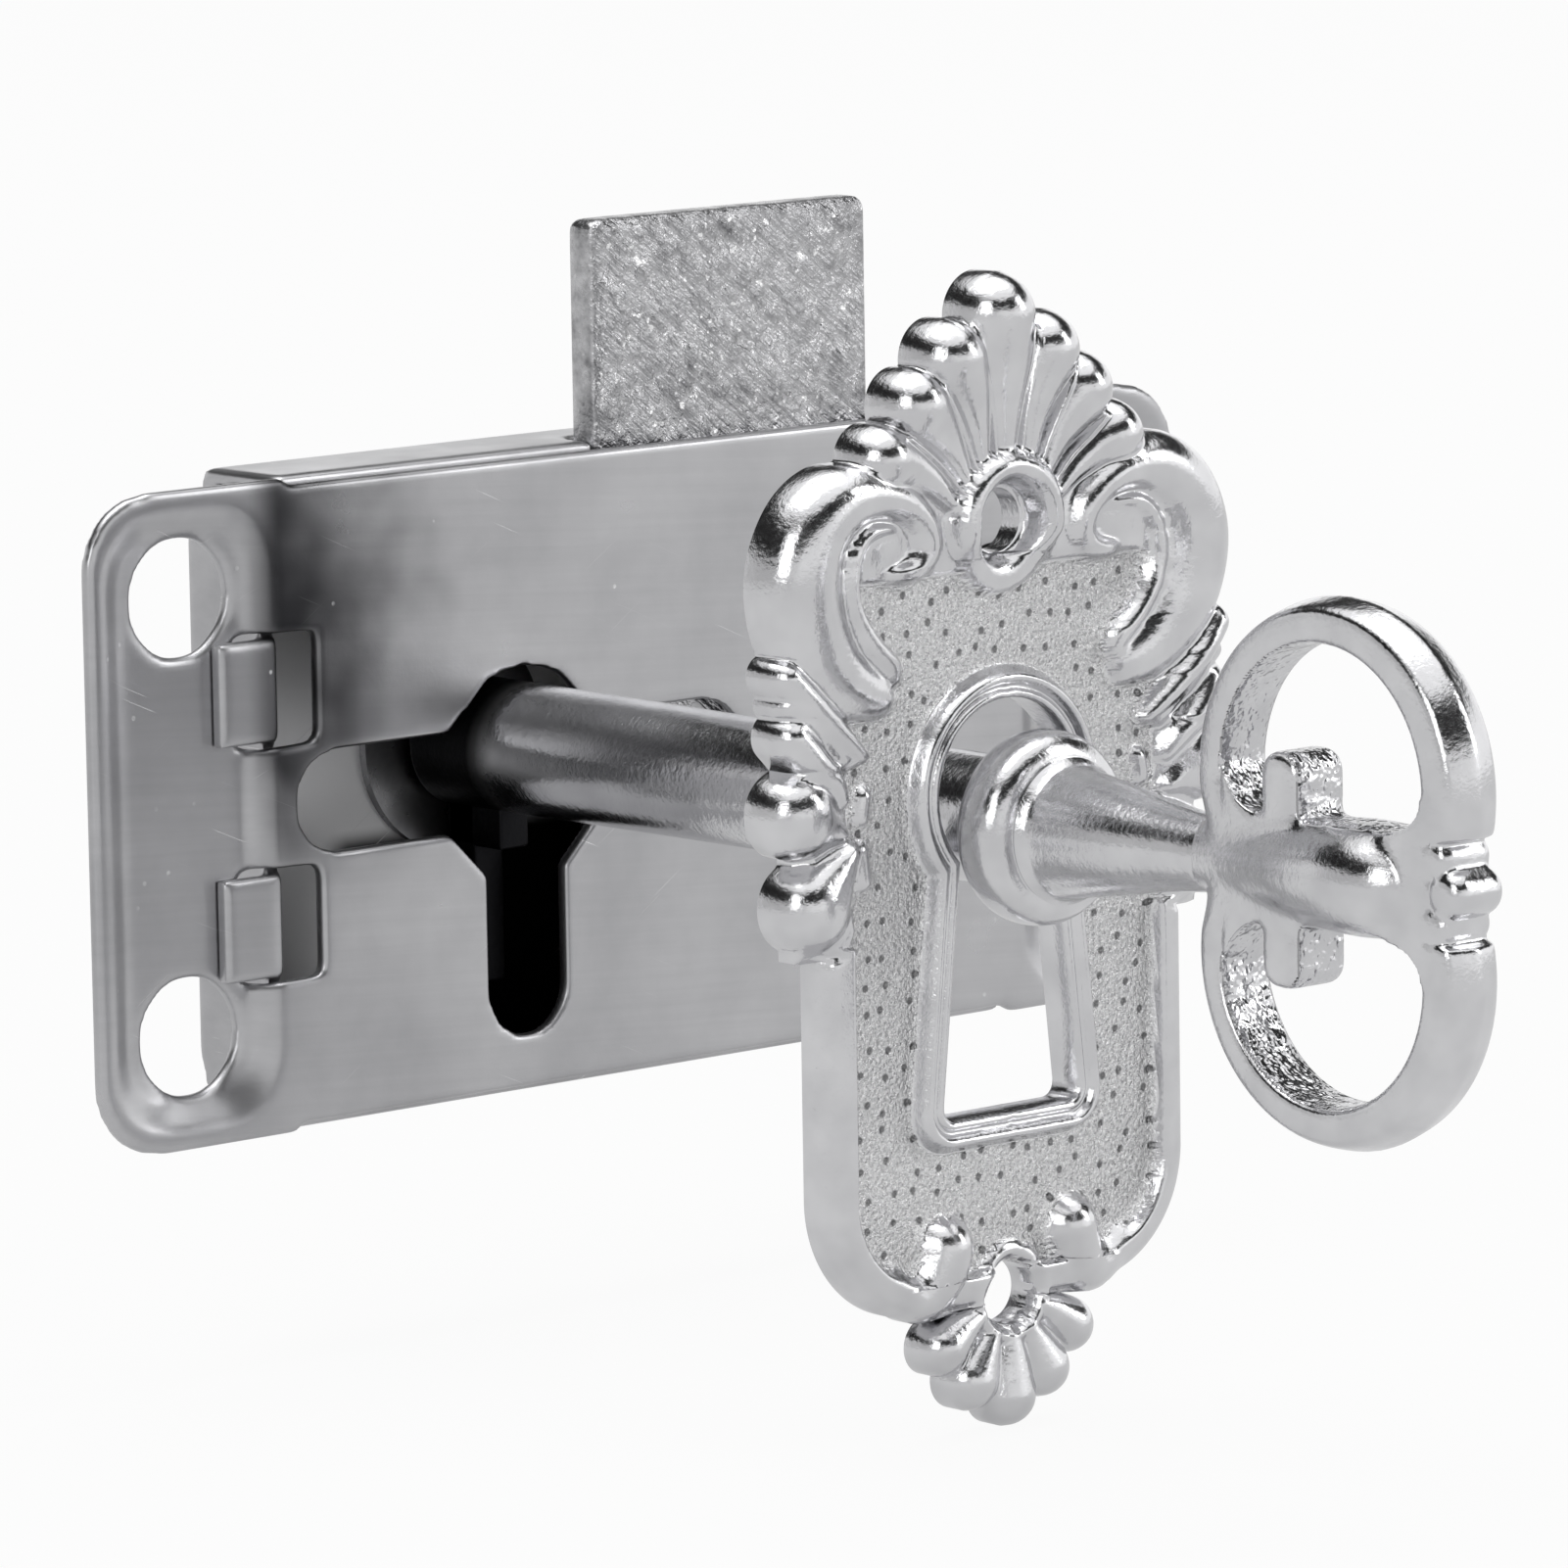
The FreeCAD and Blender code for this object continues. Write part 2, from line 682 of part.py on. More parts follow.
leafFront = caseInner - size.springThickness
springHead = dome(size.springRivetHead, leafFront, -size.rivetHeadHeight)[::-1]
rivet("spring_rivet", boltRightCell + " + springRivetFar", springCell, springHead + [
    (size.springRivetHead, leafFront),
    (size.springRivetRadius, leafFront),
] + tailHead(size.springRivetRadius, size.springRivetHead))

# Friction spring: a bowed leaf between the case back and the bolt's boss.
spring = newBody("friction_spring")
crestX = boltRight - size.springCrestInset
tipX = boltRight - size.springTipInset
footStart = boltRight + size.springFootNear
footEnd = boltRight + size.springFootFar
crestY = boltBack + bossThickness + size.springGap
tipY = (crestY + leafFront) / 2
leafProfile = newSketch(spring, "LeafProfile", "XY_Plane", springCell + " - springWidth / 2")
closedLoop(leafProfile, (footEnd, leafFront), [
    (footEnd, caseInner),
    (footStart, caseInner),
    (crestX, crestY + size.springThickness, tipX, tipY + size.springThickness),
    (tipX, tipY),
    (crestX, crestY, footStart, leafFront),
])
pad(spring, "Leaf", leafProfile, "springWidth", away=False)
leafHole = newSketch(spring, "LeafHole", "XZ_Plane")
leafHole.addGeometry(Part.Circle(
    Vector(springRivetX, springZ, 0), Vector(0, 0, 1), size.springRivetRadius + size.rivetFit
))
pocket(spring, "LeafHolePocket", leafHole)

# Key: one casting. The bow is cut first, then the shaft with its collar, neck and drop
# is turned into it, and the bit and the lobes of the tip are added.
key = newBody("key")
key.setExpression("Placement.Base.x", cell("keyholeX"))
key.setExpression("Placement.Base.z", cell("keyAxisZ"))
collarCentre = size.escutcheonBack - size.collarStandoff
bowCentre = collarCentre - size.bowReach
waist = math.sqrt(size.bowLoopRadius ** 2 - size.bowLoopOffset ** 2)
loopTop = size.bowLoopOffset + size.bowLoopRadius
bow = newSketch(key, "BowOutline", "YZ_Plane")
closedLoop(bow, (bowCentre + waist, 0), [
    (bowCentre, loopTop, bowCentre - waist, 0),
    (bowCentre, -loopTop, bowCentre + waist, 0),
])
bowPad = pad(key, "BowPad", bow, "bowThickness", centred=True)
rounded(
    key, "BowEdges", bowPad, "bowEdgeBevel",
    lambda edge: abs(edge.Vertexes[0].X - edge.Vertexes[-1].X) < 1e-4,
    kind="Chamfer",
)
chord = math.sqrt(size.bowHoleRadius ** 2 - (size.bowLoopOffset - size.bowWebHalf) ** 2)
holeTop = size.bowLoopOffset + size.bowHoleRadius
holeCentre = bowCentre + size.bowHoleShift
prongFront = bowCentre + size.prongShift - size.prongHalf
prongBack = bowCentre + size.prongShift + size.prongHalf
shoulder = size.prongTop - size.prongHalf
bowHoles = newSketch(key, "BowHoles", "YZ_Plane")
for sideZ in (-1, 1):
    closedLoop(bowHoles, (holeCentre + chord, sideZ * size.bowWebHalf), [
        (prongBack, sideZ * size.bowWebHalf),
        (prongBack, sideZ * shoulder),
        (bowCentre + size.prongShift, sideZ * size.prongTop, prongFront, sideZ * shoulder),
        (prongFront, sideZ * size.bowWebHalf),
        (holeCentre - chord, sideZ * size.bowWebHalf),
        (holeCentre, sideZ * holeTop, holeCentre + chord, sideZ * size.bowWebHalf),
    ])
bowCut = pocket(key, "BowHolePocket", bowHoles)
bowCut.SideType = "Symmetric"
boreRadius = size.pinRadius + size.boreFit
barrelEnd = flangeFront - size.barrelEndGap
boreEnd = barrelEnd - size.boreDepth
collarFront = collarCentre - size.collarHalfWidth
collarBack = collarCentre + size.collarHalfWidth
neckEnd = collarCentre - size.neckLength
dropCentre = bowCentre - size.dropReach
dropEnd = dropCentre - size.dropNoseLength
dropMiddle = (neckEnd + dropCentre) / 2
dropWaist = (size.neckEndRadius + size.dropRadius) / 2 - size.dropHollow
dropNose = (size.dropRadius * size.dropShoulder, dropCentre - size.dropNoseLength * size.dropShoulder)
shaft = newSketch(key, "ShaftProfile", "XY_Plane")
closedLoop(shaft, (boreRadius, barrelEnd), [
    (size.barrelRadius - size.barrelChamfer, barrelEnd),
    (size.barrelRadius, barrelEnd - size.barrelChamfer),
    (size.barrelNeckRadius, collarBack),
    *chords(
        (size.barrelNeckRadius, collarBack), (size.collarRadius, collarCentre),
        (size.neckRadius, collarFront), 6,
    ),
    (size.neckEndRadius, neckEnd),
    *chords((size.neckEndRadius, neckEnd), (dropWaist, dropMiddle), (size.dropRadius, dropCentre), 3),
    *chords((size.dropRadius, dropCentre), dropNose, (0, dropEnd), 4),
    (0, boreEnd - boreRadius / 2),
    (boreRadius, boreEnd),
])
turned(key, "Shaft", shaft)
sideLobeY = bowCentre - size.sideLobeReach
for number, (y, z, radius) in enumerate((
    (bowCentre - size.tipLobeReach, 0, "tipLobeRadius"),
    (sideLobeY, size.sideLobeZ, "sideLobeRadius"),
    (sideLobeY, -size.sideLobeZ, "sideLobeRadius"),
)):
    lobe = newSketch(key, f"TipLobe{number}", "YZ_Plane")
    boundCircle(lobe, (y, z), radius)
    pad(key, f"TipLobePad{number}", lobe, "bowThickness", centred=True)
bit = newSketch(key, "BitProfile", "YZ_Plane")
bitRoot = -(boreRadius + size.barrelRadius) / 2
bitStart = wall + size.bitGap
bitStep = boltBack + size.bitGap
bitEnd = barrelEnd - size.bitSetback
closedLoop(bit, (bitStart, bitRoot), [
    (bitStart, -size.bitStepRadius),
    (bitStep, -size.bitStepRadius),
    (bitStep, -size.bitRadius),
    (bitEnd, -size.bitRadius),
    (bitEnd, bitRoot),
])
pad(key, "Bit", bit, "bitThickness", centred=True)

# Escutcheon: a cast plate with a recessed field, a fan of lobes above, C-scrolls on the
# shoulders, beads at the waist and a small fan at the foot.
escutcheon = newBody("escutcheon")
escutcheon.setExpression("Placement.Base.x", cell("keyholeX"))
escutcheon.setExpression("Placement.Base.y", cell("escutcheonBack"))


def mirroredLoop(sketch, bottom, steps, top):
    """the right half as steps from the bottom point to the top one, and its mirror image"""
    back = []
    points = [bottom] + steps + [top]
    for index in range(len(points) - 1, 0, -1):
        step, before = points[index], points[index - 1]
        end = (-before[-2], before[-1])
        back.append((-step[0], step[1]) + end if len(step) == 4 else end)
    closedLoop(sketch, bottom, steps + [top] + back[:-1] + [back[-1]])


def fanTips(firstZ, pitch, slopes):
    """centres of a fan's lobes: the first on the middle line, each next one a pitch
    further along the fan's edge, which falls away by one slope after another"""
    tips = [(0, firstZ)]
    for slope in slopes:
        x, z = tips[-1]
        fall = math.copysign(pitch * math.sin(math.radians(slope)), firstZ)
        tips.append((x + pitch * math.cos(math.radians(slope)), z - fall))
    return tips


def teardrop(name, root, tip, radius, rootRadius):
    """a drop of relief half sunk in the plate: a cone that widens into a ball"""
    reach = math.hypot(tip[0] - root[0], tip[1] - root[1])
    angle = math.degrees(math.atan2(-(tip[0] - root[0]), tip[1] - root[1]))
    sketch = newSketch(escutcheon, name, "XZ_Plane")
    sketch.AttachmentOffset = Placement(
        Vector(root[0], root[1], size.reliefPlane), Rotation(Vector(0, 0, 1), angle)
    )
    side = radius * math.sqrt(0.5)
    ball = chords((radius, reach), (side, reach + side), (0, reach + radius), 3)
    closedLoop(sketch, (0, 0), [(rootRadius, 0), (radius, reach)] + ball)
    turned(escutcheon, name + "Turning", sketch)


crownTips = fanTips(size.crownTipZ, size.crownPitch, [
    size.crownSlopeTop, size.crownSlopeSide, size.crownSlopeSide,
])
footTips = fanTips(size.footTipZ, size.footPitch, [size.footSlopeTop, size.footSlopeSide])
cornerCentre = size.bodyHalfWidth - size.bodyCornerRadius
waistHalf = size.bodyHalfWidth + size.waistStep
scrollX = size.bodyHalfWidth - size.scrollInset
bodyCorner = corner((cornerCentre, size.bodyCornerStart), size.bodyCornerRadius, -90)
slab = newSketch(escutcheon, "SlabOutline", "XZ_Plane")
mirroredLoop(slab, footTips[0], footTips[1:] + [
    (cornerCentre, size.bodyCornerStart - size.bodyCornerRadius),
    (bodyCorner[0], bodyCorner[1], size.bodyHalfWidth, size.bodyCornerStart),
    (size.bodyHalfWidth, size.bodyTop),
    (waistHalf, size.waistBottom),
    (waistHalf, size.waistTop),
    (scrollX + size.scrollRadius, size.scrollZ),
    corner((scrollX, size.scrollZ), size.scrollRadius, 0),
] + crownTips[:0:-1], crownTips[0])
slabPad = pad(escutcheon, "Slab", slab, "escutcheonRim", away=False)
rounded(
    escutcheon, "SlabBevel", slabPad, "rimBevel",
    lambda edge: all(abs(v.Y + size.escutcheonRim) < 1e-4 for v in edge.Vertexes)
    and all(v.Z < size.bodyTop + 0.1 for v in edge.Vertexes),
    kind="Chamfer",
)
field = newSketch(escutcheon, "Field", "XZ_Plane", "escutcheonRim")
fieldHalf = size.bodyHalfWidth - size.borderWidth
fieldCorner = size.bodyCornerRadius - size.borderWidth
fieldCut = corner((cornerCentre, size.bodyCornerStart), fieldCorner, -90)
eye = size.scrollRadius - size.scrollWire
eyeX = scrollX - eye * math.sqrt(0.5)
eyeRise = eye * math.sqrt(0.5)
mirroredLoop(field, (0, size.fieldBottom), [
    (size.fieldBottomHalf, size.fieldBottom),
    (cornerCentre, size.bodyCornerStart - fieldCorner),
    (fieldCut[0], fieldCut[1], fieldHalf, size.bodyCornerStart),
    (fieldHalf, size.bodyTop),
    (size.bodyHalfWidth - size.fieldWaistInset, size.fieldWaistZ),
    (eyeX, size.scrollZ - eyeRise),
    (scrollX + eye, size.scrollZ, eyeX, size.scrollZ + eyeRise),
    (size.fieldTopHalf, size.fieldTop),
], (0, size.fieldTop))
pocket(escutcheon, "FieldPocket", field, "fieldRecess")


def keyholeLoop(sketch, grow):
    """the escutcheon's keyhole: a round above, and a slot that widens downwards"""
    radius = size.slotRoundRadius + grow
    half = size.slotTopHalf + grow
    join = size.slotRoundZ - math.sqrt(radius ** 2 - half ** 2)
    bottom = size.slotBottomZ - grow
    side = radius * math.sqrt(0.5)
    mirroredLoop(sketch, (0, bottom), [
        (size.slotBottomHalf + grow, bottom),
        (half, join),
        (radius, size.slotRoundZ, side, size.slotRoundZ + side),
    ], (
        radius * math.sin(math.pi / 8), size.slotRoundZ + radius * math.cos(math.pi / 8),
        0, size.slotRoundZ + radius,
    ))


slotRim = newSketch(escutcheon, "SlotRim", "XZ_Plane", "escutcheonRim - fieldRecess")
keyholeLoop(slotRim, size.slotRimWidth)
pad(escutcheon, "SlotRimPad", slotRim, "slotRimHeight", away=False)
nailRing = newSketch(escutcheon, "NailRing", "XZ_Plane")
boundCircle(nailRing, (0, size.nailTopZ), "nailRingRadius")
pad(escutcheon, "NailRingPad", nailRing, "nailRingHeight", away=False)

for fan, rootZ, tips, radius, rootRadius in (
    ("Crown", size.crownRootZ, crownTips, size.crownLobeRadius, size.crownLobeRoot),
    ("Foot", size.footRootZ, footTips, size.footLobeRadius, size.footLobeRoot),
):
    for number, (x, z) in enumerate(tips):
        for side, name in ((-1, "Left"), (1, "Right")):
            if number == 0 and side < 0:
                continue
            root = (side * x * size.lobeGather, rootZ)
            tipRadius = radius - number * size.lobeTaper
            teardrop(f"{fan}Lobe{name}{number}", root, (side * x, z), tipRadius, rootRadius)
for side, name in ((-1, "Left"), (1, "Right")):
    scroll = newSketch(escutcheon, name + "Scroll", "XY_Plane")
    scroll.AttachmentOffset = Placement(
        Vector(side * scrollX, -size.reliefPlane, size.scrollZ), Rotation()
    )
    angles = [math.radians(22.5 + 45 * number) for number in range(8)]
    section = [
        (side * size.scrollRadius + size.scrollWire * math.cos(a), size.scrollWire * math.sin(a))
        for a in angles
    ]
    closedLoop(scroll, section[0], section[1:])
    turned(escutcheon, name + "ScrollTurn", scroll, angle=180.0, flipped=side > 0)
    for drop in ("leaf", "curl", "petal", "bead", "bud", "spur"):
        rootX = size.bodyHalfWidth - getattr(size, drop + "RootInset")
        tipX = size.bodyHalfWidth - getattr(size, drop + "TipInset")
        root = (side * rootX, getattr(size, drop + "RootZ"))
        tip = (side * tipX, getattr(size, drop + "TipZ"))
        teardrop(
            name + drop.capitalize(), root, tip,
            getattr(size, drop + "TipRadius"), getattr(size, drop + "RootRadius"),
        )
backTrim = newSketch(escutcheon, "BackTrim", "XZ_Plane")
trimHalf = scrollX + size.scrollRadius * 2
trimTop = size.crownTipZ + size.crownLobeRadius * 2
trimBottom = size.footTipZ - size.footLobeRadius * 2
closedLoop(backTrim, (-trimHalf, trimBottom), [
    (trimHalf, trimBottom),
    (trimHalf, trimTop),
    (-trimHalf, trimTop),
])
pocket(escutcheon, "BackTrimPocket", backTrim)
slotCut = newSketch(escutcheon, "SlotCut", "XZ_Plane")
keyholeLoop(slotCut, 0)
pocket(escutcheon, "SlotCutPocket", slotCut, flipped=True)
nailHoles = newSketch(escutcheon, "NailHoles", "XZ_Plane")
boundCircle(nailHoles, (0, size.nailTopZ), "nailHoleRadius")
boundCircle(nailHoles, (0, size.nailBottomZ), "nailHoleRadius")
pocket(escutcheon, "NailHolePocket", nailHoles, flipped=True)

doc.recompute()
failed = [item.Name for item in doc.Objects if set(item.State) & {"Invalid", "Error"}]
if failed:
    raise RuntimeError(f"these features did not build: {failed}")
for item in subParts:
    for feature in item.Group:
        if not feature.isDerivedFrom("PartDesign::Feature"):
            continue
        if len(feature.Shape.Solids) != 1:
            print(f"{item.Label}: {feature.Name} leaves {len(feature.Shape.Solids)} solids")
        if feature.isDerivedFrom("PartDesign::Pocket"):
            removed = feature.BaseFeature.Shape.Volume - feature.Shape.Volume
            if removed < 1e-3:
                raise RuntimeError(f"{feature.Name} takes {removed:.3f} from {item.Label}")
os.makedirs("parts", exist_ok=True)
for item in subParts:
    shape = item.Shape
    if shape.isNull() or not shape.isValid():
        raise RuntimeError(f"{item.Label} has no valid shape")
    box = shape.optimalBoundingBox(False)
    print(
        f"{item.Label:18s} solids {len(shape.Solids)}  volume {shape.Volume:9.2f}"
        f"  X {box.XMin:7.2f} {box.XMax:7.2f}  Y {box.YMin:7.2f} {box.YMax:7.2f}"
        f"  Z {box.ZMin:7.2f} {box.ZMax:7.2f}"
    )
    shape.exportStep(os.path.join("parts", item.Label + ".step"))
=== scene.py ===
import math

import bmesh
import bpy
import numpy as np
from mathutils import Matrix, Vector


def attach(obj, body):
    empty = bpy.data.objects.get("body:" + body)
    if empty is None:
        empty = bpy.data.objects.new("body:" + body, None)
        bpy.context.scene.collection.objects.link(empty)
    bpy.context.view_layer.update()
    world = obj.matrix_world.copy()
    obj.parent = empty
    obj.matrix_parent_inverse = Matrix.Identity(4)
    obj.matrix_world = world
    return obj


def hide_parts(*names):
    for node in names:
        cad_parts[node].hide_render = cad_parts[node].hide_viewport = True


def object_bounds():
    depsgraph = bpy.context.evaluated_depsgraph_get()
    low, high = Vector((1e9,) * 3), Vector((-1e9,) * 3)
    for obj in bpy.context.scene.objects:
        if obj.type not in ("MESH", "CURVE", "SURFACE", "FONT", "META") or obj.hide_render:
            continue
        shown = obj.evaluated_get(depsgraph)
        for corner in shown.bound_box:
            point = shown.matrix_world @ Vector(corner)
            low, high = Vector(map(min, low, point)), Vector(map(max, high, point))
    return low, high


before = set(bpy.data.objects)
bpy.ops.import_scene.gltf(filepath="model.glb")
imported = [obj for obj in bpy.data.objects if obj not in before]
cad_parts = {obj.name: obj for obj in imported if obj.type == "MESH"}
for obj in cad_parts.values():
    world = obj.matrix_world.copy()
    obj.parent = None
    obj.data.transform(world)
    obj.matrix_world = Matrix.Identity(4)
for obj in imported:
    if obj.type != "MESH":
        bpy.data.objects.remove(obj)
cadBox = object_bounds()
mm = 0.001
print("frame loaded:", len(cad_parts), "nodes")

# the camera stands to the left of the lock and a little above it, far away, as in the photo
cameraView = {
    "position": (-308.1, -362.07, 69.73),  # millimetres
    "heading": -41.13,  # degrees from straight ahead, negative to the right
    "tilt": -8.513,
    "roll": -0.913,
    "focalPixels": 9925.6,
    "framePixels": 1601,
    "centre": (801.1, 797.4),
    "farthest": 20,  # metres
}


def addCamera():
    # lens = focal length in pixels / frame's width in pixels * sensor's width;
    # shift = offset of the optical centre from the frame's middle / frame's width
    v = cameraView
    camera = bpy.data.objects.new("camera", bpy.data.cameras.new("camera"))
    bpy.context.scene.collection.objects.link(camera)
    camera.data.lens = v["focalPixels"] / v["framePixels"] * camera.data.sensor_width
    half = (v["framePixels"] - 1) / 2
    camera.data.shift_x = (half - v["centre"][0]) / v["framePixels"]
    camera.data.shift_y = (v["centre"][1] - half) / v["framePixels"]
    turn = Matrix.Rotation(math.radians(v["heading"]), 4, "Z")
    tilt = Matrix.Rotation(math.radians(90 + v["tilt"]), 4, "X")
    roll = Matrix.Rotation(math.radians(v["roll"]), 4, "Z")
    camera.matrix_world = Matrix.Translation(Vector(v["position"]) * mm) @ turn @ tilt @ roll
    camera.data.clip_end = v["farthest"]
    bpy.context.scene.camera = camera


def linearColour(code):
    # sRGB hex to linear: each channel c becomes c/12.92 when small, else ((c+0.055)/1.055)^2.4
    channels = [int(code[i:i + 2], 16) / 255 for i in (1, 3, 5)]
    return [c / 12.92 if c <= 0.04045 else ((c + 0.055) / 1.055) ** 2.4 for c in channels] + [1.0]


def addNode(tree, kind, inputs=(), **settings):
    # one node: settings go to its own properties, inputs to its sockets in order or by number or name.
    # An input is a number, a hex colour, a socket, or a node that gives its first output.
    node = tree.nodes.new("ShaderNode" + kind)
    for name, value in settings.items():
        setattr(node, name, value)
    for key, value in inputs.items() if isinstance(inputs, dict) else enumerate(inputs):
        if isinstance(value, bpy.types.Node):
            value = value.outputs[0]
        if isinstance(value, bpy.types.NodeSocket):
            tree.links.new(value, node.inputs[key])
        else:
            node.inputs[key].default_value = linearColour(value) if isinstance(value, str) else value
    return node


def newMaterial(name):
    material = bpy.data.materials.new(name)
    material.use_nodes = True
    material.node_tree.nodes.clear()
    return material, material.node_tree


def addPatterns(tree, table):
    # Each named pattern is a texture on the object's own place, turned by degrees and measured in cells of
    # so many millimetres. Noise is (detail, roughness). A step is (low, high, start, end): smoothly from start
    # to end between low and high, 0 to 1 where they aren't given. Noise without a step is spread over 0 to 1.
    place = addNode(tree, "TexCoord").outputs["Object"]
    found = {}
    for name, p in table.items():
        cell = p["cell"] if isinstance(p["cell"], tuple) else [p["cell"]] * 3
        turn = [math.radians(a) for a in p.get("turn", (0, 0, 0))]
        mapped = addNode(
            tree, "Mapping", {0: place, "Rotation": turn, "Scale": [mm * c for c in cell]}, vector_type="TEXTURE"
        )
        inputs = dict(zip(("Detail", "Roughness"), p["noise"])) if "noise" in p else p.get("inputs", {})
        inputs = {0: mapped, "Scale": 1.0, **inputs}
        texture = addNode(tree, p.get("kind", "TexNoise"), inputs, **p.get("settings", {}))
        found[name] = texture.outputs[p.get("output", 0)]
        if "step" in p:
            found[name] = addNode(tree, "MapRange", (found[name], *p["step"]), interpolation_type="SMOOTHSTEP")
        elif "noise" in p:
            found[name] = addNode(tree, "MapRange", (found[name], *noiseSpan))
    return found


def finishMetal(tree, colour, coats, roughness, rougher, rises):
    # Colour: each coat covers what lies under it by a share, the product of the coat's factors.
    # Roughness, and height in millimetres: a start value and the sum of such products.
    def product(first, *factors):
        for factor in factors:
            first = addNode(tree, "Math", (first, factor), operation="MULTIPLY")
        return first

    for coat, *factors in coats:
        colour = addNode(tree, "Mix", {0: product(*factors), 6: colour, 7: coat}, data_type="RGBA").outputs[2]
    for *factors, amount in rougher:
        roughness = addNode(tree, "Math", (product(*factors), amount, roughness), operation="MULTIPLY_ADD")
    height = 0.0
    for *factors, amount in rises:
        height = addNode(tree, "Math", (product(*factors), amount, height), operation="MULTIPLY_ADD")
    bump = addNode(tree, "Bump", {"Height": height, "Strength": 1.0, "Distance": mm})
    surface = addNode(
        tree, "BsdfPrincipled", {"Base Color": colour, "Metallic": 1.0, "Roughness": roughness, "Normal": bump}
    )
    addNode(tree, "OutputMaterial", {"Surface": surface})


noiseSpan = (0.25, 0.75)  # nearly all of a noise texture lies between these values

studioLight = {
    "floorCode": "#b8b8b8",
    "floorWhite": 0.94,  # share of plain white that the camera sees on the floor
    "floorGleam": 0.48,  # the same for reflections in the metal
    "floorReach": 8.0,  # metres
    "floorGap": 0.05,  # millimetres under the lowest point
    "horizonLevel": 0.95,
    "ceilingLevel": 1.15,
    "gapLevel": 0.02,  # the unlit gap between the pale walls and the lit ceiling
    "gapFrom": (0.3, 0.4),  # sine of the elevation at which it starts and is full
    "gapTo": (0.7, 0.8),
    "leftLevel": 0.62,  # share of the light that comes from the left wall
    "leftSpan": (-0.85, -0.35),
    "rightLevel": 1.22,  # and from the right wall
    "rightSpan": (0.1, 0.6),
    "aim": (0, -0.03, 0),
    # name, place in metres, width and height in metres, watts
    "softboxes": (
        ("softboxLeft", (-1.5, -0.75, 0.75), 0.9, 1.1, 6),
        ("softboxTop", (0.0, 0.1, 1.7), 1.5, 1.0, 16),
        ("softboxRight", (1.3, -1.2, 0.9), 0.6, 1.0, 6),
    ),
}


def addStage():
    # a paper floor: its own shade, mixed with plain white by a share that depends on what looks at it
    s = studioLight
    low, reach = cadBox[0][2] - s["floorGap"] * mm, s["floorReach"]
    mesh = bpy.data.meshes.new("floor")
    corners = [(x * reach, y * reach, low) for x, y in ((-1, -1), (1, -1), (1, 1), (-1, 1))]
    mesh.from_pydata(corners, [], [(0, 1, 2, 3)])
    floor = bpy.data.objects.new("floor", mesh)
    bpy.context.scene.collection.objects.link(floor)
    material, tree = newMaterial("whitePaper")
    path = addNode(tree, "LightPath").outputs
    mirrored = addNode(tree, "Math", (path["Is Glossy Ray"], path["Is Transmission Ray"]), operation="ADD")
    gleam = addNode(tree, "Math", (mirrored, s["floorGleam"]), operation="MULTIPLY")
    share = addNode(tree, "Math", (path["Is Camera Ray"], s["floorWhite"], gleam), operation="MULTIPLY_ADD")
    paper = addNode(tree, "BsdfDiffuse", {"Color": s["floorCode"]})
    white = addNode(tree, "Emission", {"Color": (1, 1, 1, 1), "Strength": 1.0})
    mixed = addNode(tree, "MixShader", (share, paper, white))
    addNode(tree, "OutputMaterial", {"Surface": mixed})
    mesh.materials.append(material)


def addLights():
    # pale walls, then an unlit gap, then a pale ceiling; the left wall is darker and the right wall lighter
    s = studioLight
    world = bpy.data.worlds.new("studio")
    bpy.context.scene.world = world
    world.use_nodes = True
    tree = world.node_tree
    tree.nodes.clear()
    direction = addNode(tree, "TexCoord").outputs["Generated"]
    axes = addNode(tree, "SeparateXYZ", (direction,)).outputs
    walls, ceiling, left, right = (
        addNode(tree, "MapRange", (axes[axis], *span, before, after), interpolation_type="SMOOTHSTEP")
        for axis, span, before, after in (
            (2, s["gapFrom"], s["horizonLevel"], s["gapLevel"]),
            (2, s["gapTo"], s["gapLevel"], s["ceilingLevel"]),
            (0, s["leftSpan"], s["leftLevel"], 1.0),
            (0, s["rightSpan"], 1.0, s["rightLevel"]),
        )
    )
    level = addNode(tree, "Math", (walls, ceiling), operation="MAXIMUM")
    for side in (left, right):
        level = addNode(tree, "Math", (level, side), operation="MULTIPLY")
    background = addNode(tree, "Background", {"Color": level, "Strength": 1.0})
    addNode(tree, "OutputWorld", {"Surface": background})
    for name, place, width, tall, power in s["softboxes"]:
        data = bpy.data.lights.new(name, "AREA")
        data.shape = "RECTANGLE"
        data.size, data.size_y = width, tall
        data.energy = power
        light = bpy.data.objects.new(name, data)
        light.location = place
        light.rotation_euler = (Vector(place) - Vector(s["aim"])).to_track_quat("Z", "Y").to_euler()
        bpy.context.scene.collection.objects.link(light)


